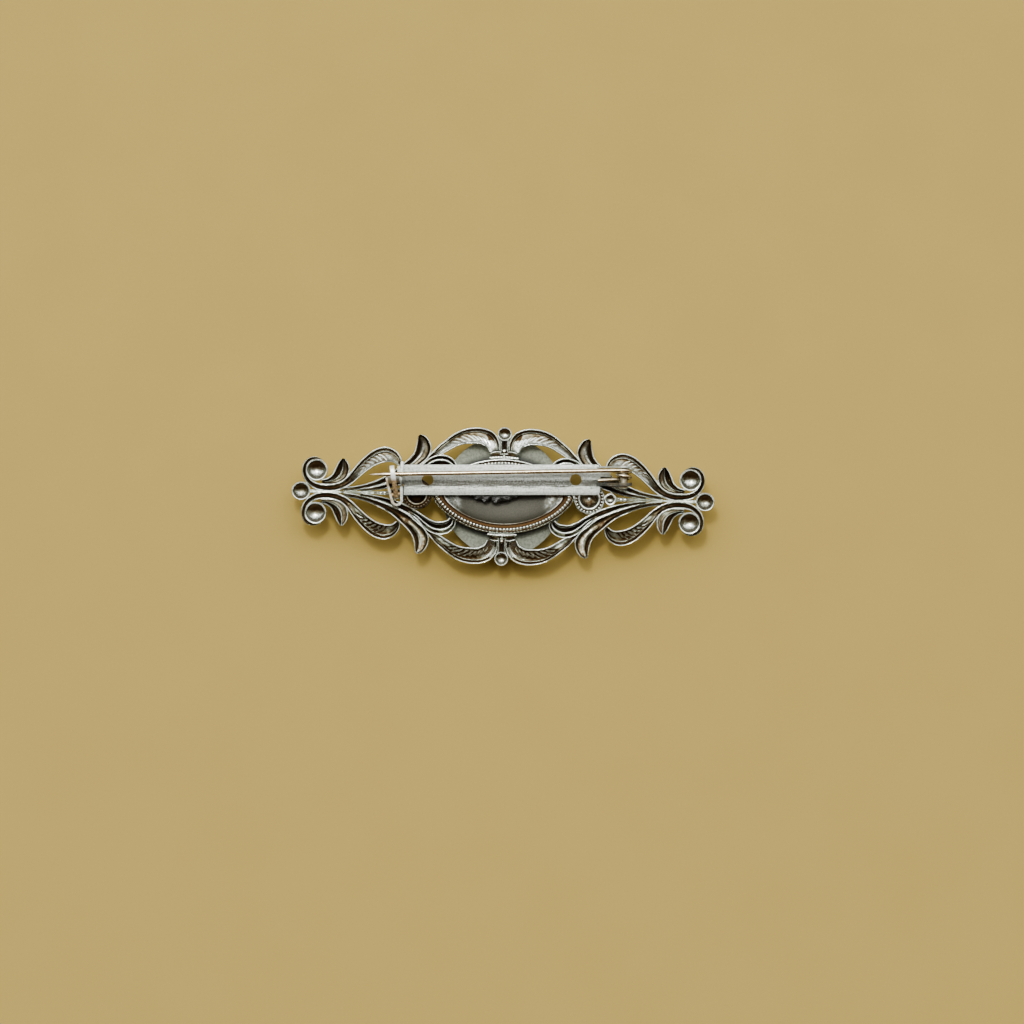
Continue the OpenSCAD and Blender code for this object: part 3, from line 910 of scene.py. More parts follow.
@dataclass(frozen=True)
class Stroke:
    """One trough of a quarter of the ornament, from its tip or curl to its root.

    Rows hold x, y, half width over the rims and depth as a part of the deepest. The section holds
    places across from -1 to 1, with heights as a part of the depth. It applies to the first rows,
    and turns into a plain round one between the two rows of fade. The rim holds places from the edge
    inwards, as a part of the edge, with heights in millimetres.
    """

    name: str
    rows: tuple[Row, ...]
    section: tuple[Point, ...]
    fade: Point = (90.0, 91.0)

    step = 0.22
    fine_step = 0.1
    edge = 0.24
    edge_part = 0.45
    rim = ((0.0, -0.22), (0.12, -0.12), (0.28, -0.045), (0.45, -0.01), (0.6, -0.002), (0.75, -0.022),
           (0.88, -0.06))
    shoulder = 0.11
    end = 0.3
    below = 6
    across = 2
    roundness = 0.6
    thinnest = 0.02

    def spine(self, step: float = 0.0) -> np.ndarray:
        """Gives the smooth middle line with x, y, half width, depth and row number."""
        numbered = [(*row, float(i)) for i, row in enumerate(self.rows)]
        return curve_through(numbered, step or self.step)

    def stations(self) -> np.ndarray:
        """Gives the section's places and heights, finely enough for smooth ridges."""
        flat = curve_through(self.section, 1.0 / len(self.section) / self.across)
        return flat[np.argsort(flat[:, 0])]

    def heights(self, places: np.ndarray, row: np.ndarray) -> np.ndarray:
        """Gives the height, as a part of the depth, at places across and at a row number.

        Args:
            places: places across, from -1 to 1.
            row: the row number.

        Returns:
            Heights, 0 at the rims and below.
        """
        stations = self.stations()
        shaped = np.interp(places, stations[:, 0], stations[:, 1])
        plain = -np.clip(1 - places ** 2, 0, 1) ** self.roundness
        mix = ease(*self.fade, row)
        return shaped * (1 - mix) + plain * mix

    def rings(self, rim_z: float, deepest: float, sheet: float) -> np.ndarray:
        """Gives closed sections of the stamped trough along its middle line.

        Args:
            rim_z: height of the rims.
            deepest: depth of the deepest trough.
            sheet: thickness of the metal under the trough.

        Returns:
            Rings of points.
        """
        line = self.spine()
        travelled = lengths(line[:, :2])
        closing = ease(0, self.end, np.minimum(travelled, travelled[-1] - travelled))
        places = self.stations()[::-1, 0]
        under = np.linspace(math.pi, 2 * math.pi, self.below + 2)[1:-1]
        inwards, rounded = np.array(self.rim).T
        rings = []
        for (x, y, w, part, row), way, shut in zip(line, headings(line[:, :2]), closing):
            edge = min(self.edge, self.edge_part * w)
            depth = deepest * part
            top = depth * shut * self.heights(places, np.array(row)) - self.shoulder
            outward = w - edge * inwards
            offsets = np.concatenate([outward, places * (w - edge), -outward[::-1], w * np.cos(under)])
            levels = np.concatenate([rounded, top, rounded[::-1], (depth + sheet) * np.sin(under)])
            rings.append(np.stack([x - way[1] * offsets, y + way[0] * offsets, rim_z + levels], axis=1))
        return np.array(rings)

    def edge_line(self, side: int, inset: float) -> np.ndarray:
        """Gives points along one side at a distance from the edge, up to where the section fades.

        Args:
            side: 1 for the left side, -1 for the right.
            inset: the distance from the edge.

        Returns:
            Rows of x and y.
        """
        line = self.spine(self.fine_step)
        ahead = headings(line[:, :2])
        away = side * np.maximum(line[:, 2] - inset, 0.0)
        track = line[:, :2] + np.stack([-ahead[:, 1], ahead[:, 0]], axis=1) * away[:, None]
        return track[line[:, 4] < self.fade[1]]

    def footprint(self, rim_z: float, lap: float) -> np.ndarray:
        """Gives sections of a cutter that clears the trough's place.

        Args:
            rim_z: height of the rims.
            lap: how far the neighbours reach under this trough's rims.

        Returns:
            Rings of four points.
        """
        line = self.spine()
        low, high = CLEARED
        rings = []
        for (x, y, w, _, _), way in zip(line, headings(line[:, :2])):
            side = np.array([-way[1], way[0]]) * max(w - lap, self.thinnest)
            rings.append([(x + s * side[0], y + s * side[1], rim_z + z)
                          for s, z in ((1, high), (-1, high), (-1, low), (1, low))])
        return np.array(rings)

    def level_at(self, x: float, y: float, deepest: float) -> float:
        """Gives the height over the rims of the trough's face at a point beside its middle line.

        Args:
            x: the point's x.
            y: the point's y.
            deepest: depth of the deepest trough.

        Returns:
            The height, below 0.
        """
        line = self.spine()
        nearest = int(np.argmin(np.hypot(line[:, 0] - x, line[:, 1] - y)))
        before, after = line[max(nearest - 1, 0)], line[min(nearest + 1, len(line) - 1)]
        way = (after - before)[:2] / np.linalg.norm((after - before)[:2])
        away = (x - line[nearest, 0]) * -way[1] + (y - line[nearest, 1]) * way[0]
        place = np.clip(away / (line[nearest, 2] - self.edge), -1, 1)
        part = self.heights(np.array([place]), line[nearest, 4])[0]
        return float(part * deepest * line[nearest, 3]) - self.shoulder


ARC_LEAF = Stroke(
    "arc_leaf",
    ((1.50, 7.00, 0.90, 0.6), (1.75, 8.00, 1.15, 0.8), (2.45, 8.85, 1.32, 1.0), (3.55, 9.29, 1.31, 1.0),
     (4.90, 9.33, 1.29, 1.0), (6.30, 9.10, 1.18, 1.0), (7.60, 8.55, 1.02, 1.0), (8.80, 7.75, 0.88, 0.9),
     (9.90, 6.95, 0.78, 0.8), (11.0, 6.05, 0.55, 0.6), (12.3, 4.95, 0.38, 0.5), (13.8, 3.80, 0.28, 0.4)),
    ((-1, 0), (-0.94, -0.07), (-0.7, -0.17), (-0.3, -0.33), (0.1, -0.48), (0.4, -0.57), (0.5, -0.46),
     (0.57, -0.27), (0.64, -0.25), (0.76, -0.46), (0.9, -0.4), (1, 0)),
    (8.5, 10.0))
CORNER_LEAF = Stroke(
    "corner_leaf",
    ((13.25, 9.15, 0.3, 0.3), (12.95, 8.75, 0.74, 0.5), (12.65, 8.05, 1.08, 0.8), (12.55, 7.05, 1.3, 0.9),
     (12.95, 6.05, 1.22, 1.0), (13.9, 5.0, 1.02, 1.0), (15.3, 3.8, 0.95, 0.9), (17.1, 2.65, 0.68, 0.8),
     (19.0, 1.78, 0.54, 0.7), (21.0, 1.08, 0.43, 0.6), (23.0, 0.62, 0.38, 0.5), (24.8, 0.42, 0.38, 0.4)),
    ((-1, 0), (-0.9, -0.3), (-0.65, -0.6), (-0.3, -0.66), (0.0, -0.62), (0.3, -0.7), (0.62, -0.9),
     (0.8, -0.9), (0.9, -0.4), (1, 0)),
    (5.0, 6.6))
CRESCENT = Stroke(
    "crescent",
    ((7.70, 3.75, 0.60, 0.6), (8.05, 4.50, 0.88, 0.8), (8.85, 5.05, 1.05, 1.0), (9.90, 5.20, 1.07, 1.0),
     (10.95, 4.95, 0.98, 1.0), (12.0, 4.3, 0.8, 0.9), (13.2, 3.35, 0.62, 0.8), (14.7, 2.5, 0.6, 0.8),
     (16.4, 1.75, 0.58, 0.8), (18.2, 1.1, 0.44, 0.7), (20.2, 0.65, 0.34, 0.5), (22.2, 0.35, 0.3, 0.4)),
    ((-1, 0), (-0.9, -0.4), (-0.78, -0.3), (-0.7, -0.22), (-0.58, -0.5), (-0.33, -0.95), (-0.08, -0.6),
     (0.12, -0.15), (0.34, -0.08), (0.5, -0.3), (0.7, -0.6), (0.88, -0.35), (1, 0)),
    (5.5, 7.5))
SIDE_LEAF = Stroke(
    "side_leaf",
    ((16.15, 4.45, 0.42, 0.5), (16.6, 5.25, 0.78, 0.7), (17.35, 5.8, 1.07, 1.0), (18.4, 6.0, 1.25, 1.0),
     (19.6, 5.7, 1.22, 1.0), (20.8, 4.95, 1.1, 1.0), (21.9, 4.0, 0.98, 0.9), (22.9, 2.95, 0.85, 0.9),
     (23.8, 1.95, 0.72, 0.8), (24.9, 1.15, 0.64, 0.8), (26.3, 0.66, 0.62, 0.8), (27.8, 0.6, 0.58, 0.8),
     (29.1, 0.85, 0.54, 0.7), (30.1, 1.45, 0.47, 0.7), (30.75, 2.35, 0.42, 0.6), (30.95, 3.4, 0.38, 0.5),
     (30.7, 4.35, 0.36, 0.4), (30.0, 4.98, 0.32, 0.4), (29.1, 5.15, 0.26, 0.3), (28.2, 4.82, 0.13, 0.2)),
    ((-1, 0), (-0.93, -0.09), (-0.62, -0.24), (-0.25, -0.4), (0.1, -0.54), (0.28, -0.58), (0.38, -0.44),
     (0.45, -0.27), (0.53, -0.25), (0.7, -0.46), (0.88, -0.36), (1, 0)),
    (6.8, 8.5))
BUD = Stroke(
    "bud",
    ((24.95, 5.2, 0.3, 0.3), (24.95, 4.5, 0.85, 0.6), (25.0, 3.6, 1.15, 0.8), (25.35, 2.7, 1.2, 0.8),
     (26.1, 2.0, 0.95, 0.8), (27.2, 1.6, 0.6, 0.6), (28.2, 1.5, 0.4, 0.5)),
    ((-1, 0), (-0.84, -0.35), (-0.55, -0.55), (-0.25, -0.45), (-0.08, -0.14), (0.04, -0.1),
     (0.16, -0.35), (0.5, -0.85), (0.82, -0.5), (1, 0)))
FOOT = Stroke(
    "foot", ((-0.1, 6.34, 0.55, 0.4), (1.1, 6.45, 0.6, 0.5), (2.1, 6.25, 0.5, 0.4)),
    ((-1, 0), (-0.7, -0.5), (0, -1), (0.7, -0.5), (1, 0)))
COLUMN = Stroke(
    "column", ((0, 9.0, 0.7, 0.5), (0, 8.2, 0.64, 0.6), (0, 7.4, 0.64, 0.6), (0, 6.5, 0.7, 0.4)),
    ((-1, 0), (-0.8, -0.4), (-0.62, -0.2), (-0.45, -0.4), (-0.2, -1), (0.2, -1), (0.45, -0.4),
     (0.62, -0.2), (0.8, -0.4), (1, 0)))
AXIS_SPINE = Stroke(
    "axis_spine", ((17.3, 0, 0.34, 0.3), (19.6, 0, 0.25, 0.3), (22.5, 0, 0.2, 0.3), (26, 0, 0.19, 0.2),
                   (30.2, 0, 0.3, 0.2)),
    ((-1, 0), (-0.6, -0.5), (0, -0.7), (0.6, -0.5), (1, 0)))
QUARTER = (ARC_LEAF, CORNER_LEAF, CRESCENT, BUD, SIDE_LEAF, FOOT)


@dataclass(frozen=True)
class Cup:
    """Round bowl with a raised rim.

    The rim's tables hold distances outwards from the hollow or inwards from the edge, with heights.
    """

    name: str
    at: Point
    radius: float
    hollow: float
    depth: float
    groove: bool = False

    lip = -0.1
    inner_rim = ((0.03, -0.03), (0.08, -0.005), (0.13, 0.0))
    outer_rim = ((0.12, 0.0), (0.06, -0.02))
    groove_start = ((0.2, -0.03), (0.27, -0.14), (0.34, -0.3))
    groove_stop = ((0.3, -0.32), (0.22, -0.12), (0.17, -0.03))

    def profile(self, sheet: float) -> list[Point]:
        """Gives radius and height from the bowl's middle over the rim and back under it.

        Args:
            sheet: thickness of the metal under the bowl.

        Returns:
            The closed profile.
        """
        bowl = arc((0, 0), (self.hollow, -self.depth), range(80, -1, -10))
        outwards = self.inner_rim + (self.groove_start if self.groove else ())
        inwards = (self.groove_stop if self.groove else ()) + self.outer_rim
        rim = [(self.hollow + step, z) for step, z in outwards]
        rim += [(self.radius - step, z) for step, z in inwards]
        under = arc((0, 0), (self.radius, -(self.depth + sheet)), range(10, 81, 10))
        return [(0.0, -self.depth), *bowl, *rim, (self.radius, self.lip), *under,
                (0.0, -self.depth - sheet)]


CURL_CUP = Cup("curl_cup", (29.05, 3.35), 1.7, 1.48, 1.2)
SIDE_CUP = Cup("side_cup", (13.4, 0.0), 2.42, 1.47, 1.2, groove=True)
END_CUP = Cup("end_cup", (31.4, 0.0), 1.45, 1.24, 1.1)
AXIS_BEAD = Cup("axis_bead", (16.65, 0.0), 0.95, 0.68, 0.6)
KNOB = Cup("knob", (0.0, 9.7), 1.08, 0.9, 0.8)


@dataclass(frozen=True)
class Bead:
    """Small rounded bead with its half sizes, and how far its middle lies below the rims."""

    name: str
    size: tuple[float, float, float]
    drop: float


OVAL_BEAD = Bead("oval_bead", (0.2322, 0.324, 0.32), 0.31)
STUD = Bead("stud", (0.32, 0.32, 0.3), 1.1)
CUP_BEAD = Bead("cup_bead", (0.17, 0.17, 0.17), 0.2)
SPINE_BEAD = Bead("spine_bead", (0.27, 0.27, 0.18), 0.19)
COLUMN_BEAD = Bead("column_bead", (0.42, 0.4, 0.32), 0.38)
FOOT_BEAD = Bead("foot_bead", (0.24, 0.15, 0.12), 0.12)


@dataclass
class Ornament:
    """Stamped openwork plate with its oval, seen from its hollow back.

    A row of dark_rings holds x, y, inner and outer radius, the least depth and the darkening, which
    lightens below 0. A row of edge_tones holds a stroke, its side, the distance from its edge, the reach,
    and the painted tone in the upper and the lower half, a painted highlight below 0 and a painted shade
    above 0. The tables band, bead_seat and rim_edge hold steps along and across from the oval's three
    sizes, with heights. The hatches are the fine lines that lie in each stroke.
    """

    rim_z: float = 5.4
    turn: float = -1.6
    sheet: float = 0.45
    trough_depth: float = 1.2
    lap: float = 0.1
    oval_rim: Point = (11.1, 5.8)
    oval_beads: Point = (10.3, 5.15)
    oval_dome: Point = (9.4, 4.4)
    oval_points: int = 220
    oval_cutter_points: int = 160
    dome_depth: float = 1.85
    dome_angles: range = range(88, 15, -6)
    under_angles: range = range(12, 89, 12)
    pointed: float = 0.72
    bead_count: int = 92
    bead_slant: float = 22.0
    bead_track: int = 4000
    cup_beads: int = 26
    cup_beads_r: float = 2.03
    spine_beads_x: Point = (18.35, 18.95)
    column_bead_y: float = 7.0
    foot_beads_x: tuple[float, float, float] = (-2.1, 2.2, 0.42)
    foot_beads_y: float = 6.13
    foot_bend: float = 0.04
    hatch_r: float = 0.085
    hatch_step: float = 0.15
    hatch_lift: float = 0.01
    hatch_taper: Point = (0.12, 0.92)
    hatch_sides: int = 6
    most_triangles: int = 190000
    smooth_angle: float = 42.0

    # Painted shade in the seam at the dome's edge; the band and the bead row are tarnished and the groove
    # darkened.
    band_grime: float = 1.2
    groove_darkening: float = 0.9
    bead_grime: float = 0.3
    seam_shade: float = 1.3
    oval_steps: tuple[float, ...] = (-0.1, 0.2, -0.22, 0.32, -0.2)
    oval_narrow: float = 0.8
    bare_from: float = 6.2
    bare_reach: float = 1.4
    bare_share: float = 0.6
    hollow_gain: float = 1.5
    depth_gain: float = 0.18
    depth_most: float = 0.2
    low_from: float = 0.1
    # Painted shade on the upper side of each bowl, which faces away from the light.
    bowl_top_shade: float = 0.95
    bowl_from: float = 0.06
    bowl_fade: Point = (-0.3, 0.75)
    # Painted shade in the leaves of the lower half, which face away from the light; high_grime darkens the
    # leaves of the upper half.
    low_half_shade: float = 0.25
    high_grime: float = 0.17
    leaf_depth: Point = (0.12, 0.4)
    leaf_x: Point = (2.2, 3.8)
    leaf_y: Point = (1.5, 4.0)
    hatch_contrast: Point = (0.22, 0.5)
    hatch_track: float = 0.1
    hatch_bright: Point = (0.05, 0.1)
    hatch_dark: Point = (0.07, 0.12)
    hatch_far: Point = (0.26, 0.42)
    edge_core: float = 0.6
    front_clean: Point = (-0.25, 0.15)
    # The first ring paints the bar's shadow into the left side cup; the ring at x = -16.9 darkens the bead
    # under the catch.
    dark_rings: tuple[tuple[float, float, float, float, float, float], ...] = (
        (-13.4, 0.0, 0.0, 2.6, -0.01, 0.9), (13.4, 0.0, 0.36, 1.42, 0.1, 0.35),
        (13.4, 0.0, 1.5, 2.3, 0.12, 0.5), (-16.9, 1.3, 0.0, 1.3, -0.01, 0.7),
        (2.0, 9.4, 0.0, 0.75, -0.01, 0.6), (-2.0, 9.4, 0.0, 0.75, -0.01, 0.6),
        (0.0, 7.7, 0.0, 1.0, 0.1, 0.45), (0.0, -7.7, 0.0, 1.0, 0.1, 0.45),
        (1.65, -8.5, 0.0, 0.9, -0.01, -1.1), (-1.65, -8.5, 0.0, 0.9, -0.01, -1.1),
        (8.7, -5.7, 0.0, 1.2, 0.05, -0.5), (-8.7, -5.7, 0.0, 1.2, 0.05, -0.5))

    # Painted highlights, below 0, and painted shade, above 0, along each stroke's rims.
    edge_tones = (
        (ARC_LEAF, 1, 0.13, 0.11, -0.35, -0.45), (ARC_LEAF, 1, 0.36, 0.14, 0.75, 0.3),
        (ARC_LEAF, -1, 0.13, 0.11, -0.35, -0.5), (ARC_LEAF, -1, 0.38, 0.14, 0.0, 0.4),
        (SIDE_LEAF, 1, 0.13, 0.11, -0.35, -0.45), (SIDE_LEAF, 1, 0.36, 0.14, 0.75, 0.3),
        (SIDE_LEAF, -1, 0.13, 0.11, -0.35, -0.5), (SIDE_LEAF, -1, 0.38, 0.14, 0.1, 0.4),
        (CORNER_LEAF, 1, 0.13, 0.11, -0.35, -0.4), (CORNER_LEAF, 1, 0.36, 0.14, 0.6, 0.2),
        (CORNER_LEAF, -1, 0.13, 0.11, -0.35, -0.4), (CORNER_LEAF, -1, 0.36, 0.14, 0.6, 0.2),
        (BUD, 1, 0.36, 0.14, 0.5, 0.2), (BUD, -1, 0.36, 0.14, 0.5, 0.2),
        (FOOT, 1, 0.1, 0.22, 0.6, 0.6))
    band = ((-0.2, -0.14, -0.42), (-0.04, -0.03, -0.4), (0.03, 0.02, -0.46), (0.1, 0.07, -0.4),
            (0.18, 0.13, -0.22), (0.34, 0.26, -0.17), (0.5, 0.4, -0.14), (0.62, 0.5, -0.12),
            (0.68, 0.54, -0.2), (0.74, 0.58, -0.34))
    bead_seat = ((0.3, 0.24, -0.34), (0.46, 0.36, -0.3))
    rim_edge = ((-0.24, -0.24, -0.2), (-0.18, -0.18, -0.06), (-0.12, -0.12, 0.0), (-0.06, -0.06, -0.01),
                (-0.02, -0.02, -0.05), (0.0, 0.0, -0.12))
    hatches = {
        ARC_LEAF: (
            ((2.2, 7.8), (2.35, 8.25), (2.75, 8.75)), ((2.75, 8.2), (3.0, 8.6), (3.45, 9.0)),
            ((3.3, 8.5), (3.65, 8.85), (4.15, 9.2)), ((3.9, 8.65), (4.35, 9.0), (4.95, 9.35)),
            ((4.5, 8.6), (5.05, 9.0), (5.8, 9.4)), ((5.25, 8.5), (5.95, 8.9), (6.8, 9.2)),
            ((6.1, 8.4), (6.85, 8.65), (7.7, 8.8)), ((6.95, 8.15), (7.5, 8.3), (8.2, 8.3))),
        SIDE_LEAF: (
            ((18.2, 5.1), (18.8, 5.7), (19.6, 6.05)), ((19.0, 5.1), (19.7, 5.6), (20.5, 5.7)),
            ((19.6, 4.9), (20.2, 5.2), (20.9, 5.3)), ((20.3, 4.6), (20.9, 4.75), (21.5, 4.8)),
            ((21.0, 4.25), (21.8, 4.3), (22.2, 4.1)), ((21.8, 3.9), (22.2, 3.8), (22.6, 3.45)))}

    def oval(self, size: Point, count: int) -> np.ndarray:
        """Gives points round a pointed oval of the given half length and half width.

        Args:
            size: half length and half width.
            count: how many points.

        Returns:
            Rows of x and y.
        """
        a = np.linspace(0, 2 * math.pi, count, endpoint=False)
        x = np.cos(a)
        y = np.sign(np.sin(a)) * np.clip(1 - x * x, 0, 1) ** self.pointed
        return np.stack([size[0] * x, size[1] * y], axis=1)

    def lofted(self, name: str, rings: Sequence[tuple[float, float, float]], count: int) -> Piece:
        """Makes a solid through pointed ovals given by half length, half width and height over the rims."""
        loops = [np.column_stack([self.oval((length, width), count), np.full(count, self.rim_z + z)])
                 for length, width, z in rings]
        return Workbench.tube(name, np.array(loops))

    def stamp(self, body: Piece, shape: Piece, cutter: Piece) -> None:
        """Clears a form's place in the plate and adds the form there."""
        Workbench.combine(body, cutter, Cut.REMOVE)
        Workbench.combine(body, shape, Cut.ADD)

    def stamp_twice(self, body: Piece, along: int, shape: Piece, cutter: Piece) -> None:
        """Stamps a form's mirror image across an axis and then the form itself."""
        self.stamp(body, self.mirrored(shape, along), self.mirrored(cutter, along))
        self.stamp(body, shape, cutter)

    def stroke(self, stroke: Stroke) -> tuple[Piece, Piece]:
        """Makes a trough and the cutter that clears its place.

        Args:
            stroke: the trough.

        Returns:
            The form and its cutter.
        """
        shape = Workbench.tube(stroke.name, stroke.rings(self.rim_z, self.trough_depth, self.sheet))
        cutter = Workbench.tube("cutter", stroke.footprint(self.rim_z, self.lap))
        return shape, cutter

    def cup(self, cup: Cup) -> tuple[Piece, Piece]:
        """Makes a cup and the cutter that clears its place.

        Args:
            cup: the cup.

        Returns:
            The form and its cutter.
        """
        at = (*cup.at, self.rim_z)
        shape = Workbench.turned(cup.name, cup.profile(self.sheet), at)
        r = cup.radius - self.lap
        low, high = CLEARED
        cutter = Workbench.turned("cutter", ((0, high), (r, high), (r, low), (0, low)), at)
        return shape, cutter

    def hatching(self) -> Piece:
        """Makes the fine raised strokes in the leaves of one quarter.

        Returns:
            All the strokes, joined.
        """
        rods = []
        base = self.rim_z + self.hatch_lift
        for stroke, rows in ((stroke, rows) for stroke, group in self.hatches.items() for rows in group):
            line = curve_through(rows, self.hatch_step)
            path = np.column_stack([line, [base + stroke.level_at(x, y, self.trough_depth) for x, y in line]])
            radii = self.hatch_r * np.sin(np.linspace(*self.hatch_taper, len(path)) * math.pi)
            rods.append(Workbench.rod("hatch", path, radii, self.hatch_sides))
        return Workbench.join(rods)

    def mirrored(self, piece: Piece, along: int) -> Piece:
        """Copies a piece to the other side of an axis.

        Args:
            piece: the piece to copy.
            along: 0 to turn x over, 1 to turn y over.

        Returns:
            The copy.
        """
        move = Matrix.Identity(4)
        move[along][along] = -1
        return Workbench.copy(piece, move)

    def quarter(self) -> Piece:
        """Makes one quarter of the leafwork.

        Returns:
            The quarter, as one solid.
        """
        body, unused = self.stroke(QUARTER[0])
        bpy.data.objects.remove(unused)
        for stroke in QUARTER[1:]:
            self.stamp(body, *self.stroke(stroke))
        self.stamp(body, *self.cup(CURL_CUP))
        Workbench.combine(body, self.hatching(), Cut.ADD)
        return body

    def dome(self) -> Piece:
        """Makes the pointed oval: rim, groove for the beads, edge and hollow dome.

        Returns:
            The oval's solid.
        """
        middle, rim = self.oval_dome, self.oval_rim
        rings = [(middle[0] * part, middle[1] * part, z)
                 for part, z in arc((0, 0), (1, -self.dome_depth), self.dome_angles)]
        for size, table in ((middle, self.band), (self.oval_beads, self.bead_seat), (rim, self.rim_edge)):
            rings += [(size[0] + along, size[1] + across, z) for along, across, z in table]
        rings += [(rim[0] * part, rim[1] * part, z)
                  for part, z in arc((0, 0), (1, -(self.dome_depth + self.sheet)), self.under_angles)]
        return self.lofted("dome", rings, self.oval_points)

    def bead(self, bead: Bead, x: float, y: float, turn: float = 0.0) -> Piece:
        """Makes one small rounded bead, turned about Z.

        Args:
            bead: its kind.
            x: its middle's x.
            y: its middle's y.
            turn: its turn about Z, in radians.

        Returns:
            The bead.
        """
        bpy.ops.object.select_all(action="DESELECT")
        bpy.ops.mesh.primitive_ico_sphere_add(subdivisions=2, radius=1)
        piece = Workbench.latest(bead.name)
        there = Matrix.Translation((x, y, self.rim_z - bead.drop)) @ Matrix.Rotation(turn, 4, "Z")
        piece.data.transform(there @ Matrix.Diagonal((*bead.size, 1)))
        return piece

    def oval_ring(self) -> Piece:
        """Makes the slanting beads round the oval.

        Returns:
            All the beads, joined.
        """
        fine = self.oval(self.oval_beads, self.bead_track)
        travelled = lengths(fine)
        beads = []
        for k in range(self.bead_count):
            i = int(np.searchsorted(travelled, travelled[-1] * (k + 0.5) / self.bead_count))
            x, y = fine[i]
            way = fine[(i + 1) % len(fine)] - fine[i - 1]
            slant = math.radians(self.bead_slant) * math.copysign(1, x * y)
            beads.append(self.bead(OVAL_BEAD, x, y, math.atan2(way[1], way[0]) + slant))
        return Workbench.join(beads)

    def trimmings(self) -> Piece:
        """Makes the studs and small beads of the cups, the knobs and the feet.

        Returns:
            All the beads, joined.
        """
        parts = []
        for side in (-1, 1):
            middle, r = side * SIDE_CUP.at[0], self.cup_beads_r
            parts.append(self.bead(STUD, middle, 0))
            for a in np.arange(self.cup_beads) * 2 * math.pi / self.cup_beads:
                parts.append(self.bead(CUP_BEAD, middle + r * math.cos(a), r * math.sin(a), a))
            parts += [self.bead(SPINE_BEAD, side * x, 0) for x in self.spine_beads_x]
            parts.append(self.bead(COLUMN_BEAD, 0, side * self.column_bead_y))
            for x in np.arange(*self.foot_beads_x):
                parts.append(self.bead(FOOT_BEAD, x, side * (self.foot_beads_y - self.foot_bend * x * x)))
        return Workbench.join(parts)

    def inside_oval(self, points: np.ndarray, size: Point) -> np.ndarray:
        """Says which points lie inside a pointed oval."""
        part = np.clip(1 - (points[:, 0] / size[0]) ** 2, 0, 1)
        return np.abs(points[:, 1]) < size[1] * part ** self.pointed

    def sunk(self, points: np.ndarray, cell: float = 0.25, passes: int = 2, slack: float = 0.02,
             sparse: float = 0.01) -> np.ndarray:
        """Says how far each point lies below the metal around it.

        Args:
            points: the plate's points, in millimetres.
            cell: size of the squares in which heights are gathered.
            passes: how often neighbouring squares are averaged.
            slack: how far below the dome a point may lie and still count.
            sparse: share of points under which a square counts as empty.

        Returns:
            Depths in millimetres, below 0 on ridges.
        """
        corner = points[:, :2].min(axis=0) - 2 * cell
        spots = ((points[:, :2] - corner) / cell).astype(int)
        shape = tuple(spots.max(axis=0) + 3)
        near = points[:, 2] > self.rim_z - self.dome_depth - slack
        total, count = np.zeros(shape), np.zeros(shape)
        np.add.at(total, (spots[near, 0], spots[near, 1]), points[near, 2])
        np.add.at(count, (spots[near, 0], spots[near, 1]), 1.0)
        total = np.divide(total, count, out=np.zeros(shape), where=count > 0)
        count = (count > 0).astype(float)
        for _ in range(passes):
            for grid in (total, count):
                grid[1:-1, 1:-1] = sum(grid[1 + i:grid.shape[0] - 1 + i, 1 + j:grid.shape[1] - 1 + j]
                                       for i in (-1, 0, 1) for j in (-1, 0, 1)) / 9
        around = np.divide(total, count, out=np.full(shape, self.rim_z), where=count > sparse)
        return around[spots[:, 0], spots[:, 1]] - points[:, 2]

    def grime_and_painted_shade(self, points: np.ndarray) -> np.ndarray:
        """Gives the tarnish and the painted shade at certain places, on the scale of the depths.

        Args:
            points: the plate's points.

        Returns:
            The tarnish and painted shade at each point.
        """
        x, y, depth = points[:, 0], points[:, 1], self.rim_z - points[:, 2]
        # The lower half's leaves get painted shade, the upper half's a plain darkening.
        halves = self.low_half_shade * ease(*self.leaf_y, -y) + self.high_grime * ease(*self.leaf_y, y)
        grime_and_painted_shade = ease(*self.leaf_depth, depth) * ease(*self.leaf_x, np.abs(x)) * halves
        # The upper side of each bowl is painted in shade.
        for cup in (CURL_CUP, END_CUP, AXIS_BEAD, KNOB):
            for sx, sy in ((1, 1), (1, -1), (-1, 1), (-1, -1)):
                away = points[:, :2] - (sx * cup.at[0], sy * cup.at[1])
                bowl = (np.hypot(*away.T) < cup.hollow) & (depth > self.bowl_from)
                grime_and_painted_shade[bowl] = self.bowl_top_shade * ease(*self.bowl_fade, away[bowl, 1] / cup.hollow)
        for ring_x, ring_y, inner, outer, least, amount in self.dark_rings:
            away = np.hypot(x - ring_x, y - ring_y)
            grime_and_painted_shade[(away > inner) & (away < outer) & (depth > least)] += amount
        return grime_and_painted_shade

    def away_from(self, points: np.ndarray, track: np.ndarray) -> np.ndarray:
        """Gives the points' distances from a track that runs in all four quarters.

        Args:
            points: the plate's points.
            track: rows of x and y, in one quarter.

        Returns:
            Distances in millimetres.
        """
        folded = np.abs(points[:, :2])
        away = np.full(len(points), np.inf)
        for x, y in track:
            away = np.minimum(away, np.hypot(folded[:, 0] - x, folded[:, 1] - y))
        return away

    def between_hatches(self, points: np.ndarray) -> np.ndarray:
        """Paints highlights on the hatching's ridges and shade on the metal beside them.

        Args:
            points: the plate's points.

        Returns:
            The change of tone at each point.
        """
        tracks = [curve_through(rows, self.hatch_track) for group in self.hatches.values() for rows in group]
        away = self.away_from(points, np.vstack(tracks))
        beside = ease(*self.hatch_dark, away) * (1 - ease(*self.hatch_far, away))
        contrast = np.where(points[:, 1] > 0, *self.hatch_contrast)
        return contrast * (beside - (1 - ease(*self.hatch_bright, away)))

    def beside_edges(self, points: np.ndarray) -> np.ndarray:
        """Paints highlights on the strokes' rims and shade on the metal inside them.

        Args:
            points: the plate's points.

        Returns:
            The change of tone at each point.
        """
        tone = np.zeros(len(points))
        for stroke, side, inset, reach, above, below in self.edge_tones:
            away = self.away_from(points, stroke.edge_line(side, inset))
            tone += (1 - ease(reach * self.edge_core, reach, away)) * np.where(points[:, 1] > 0, above, below)
        return tone

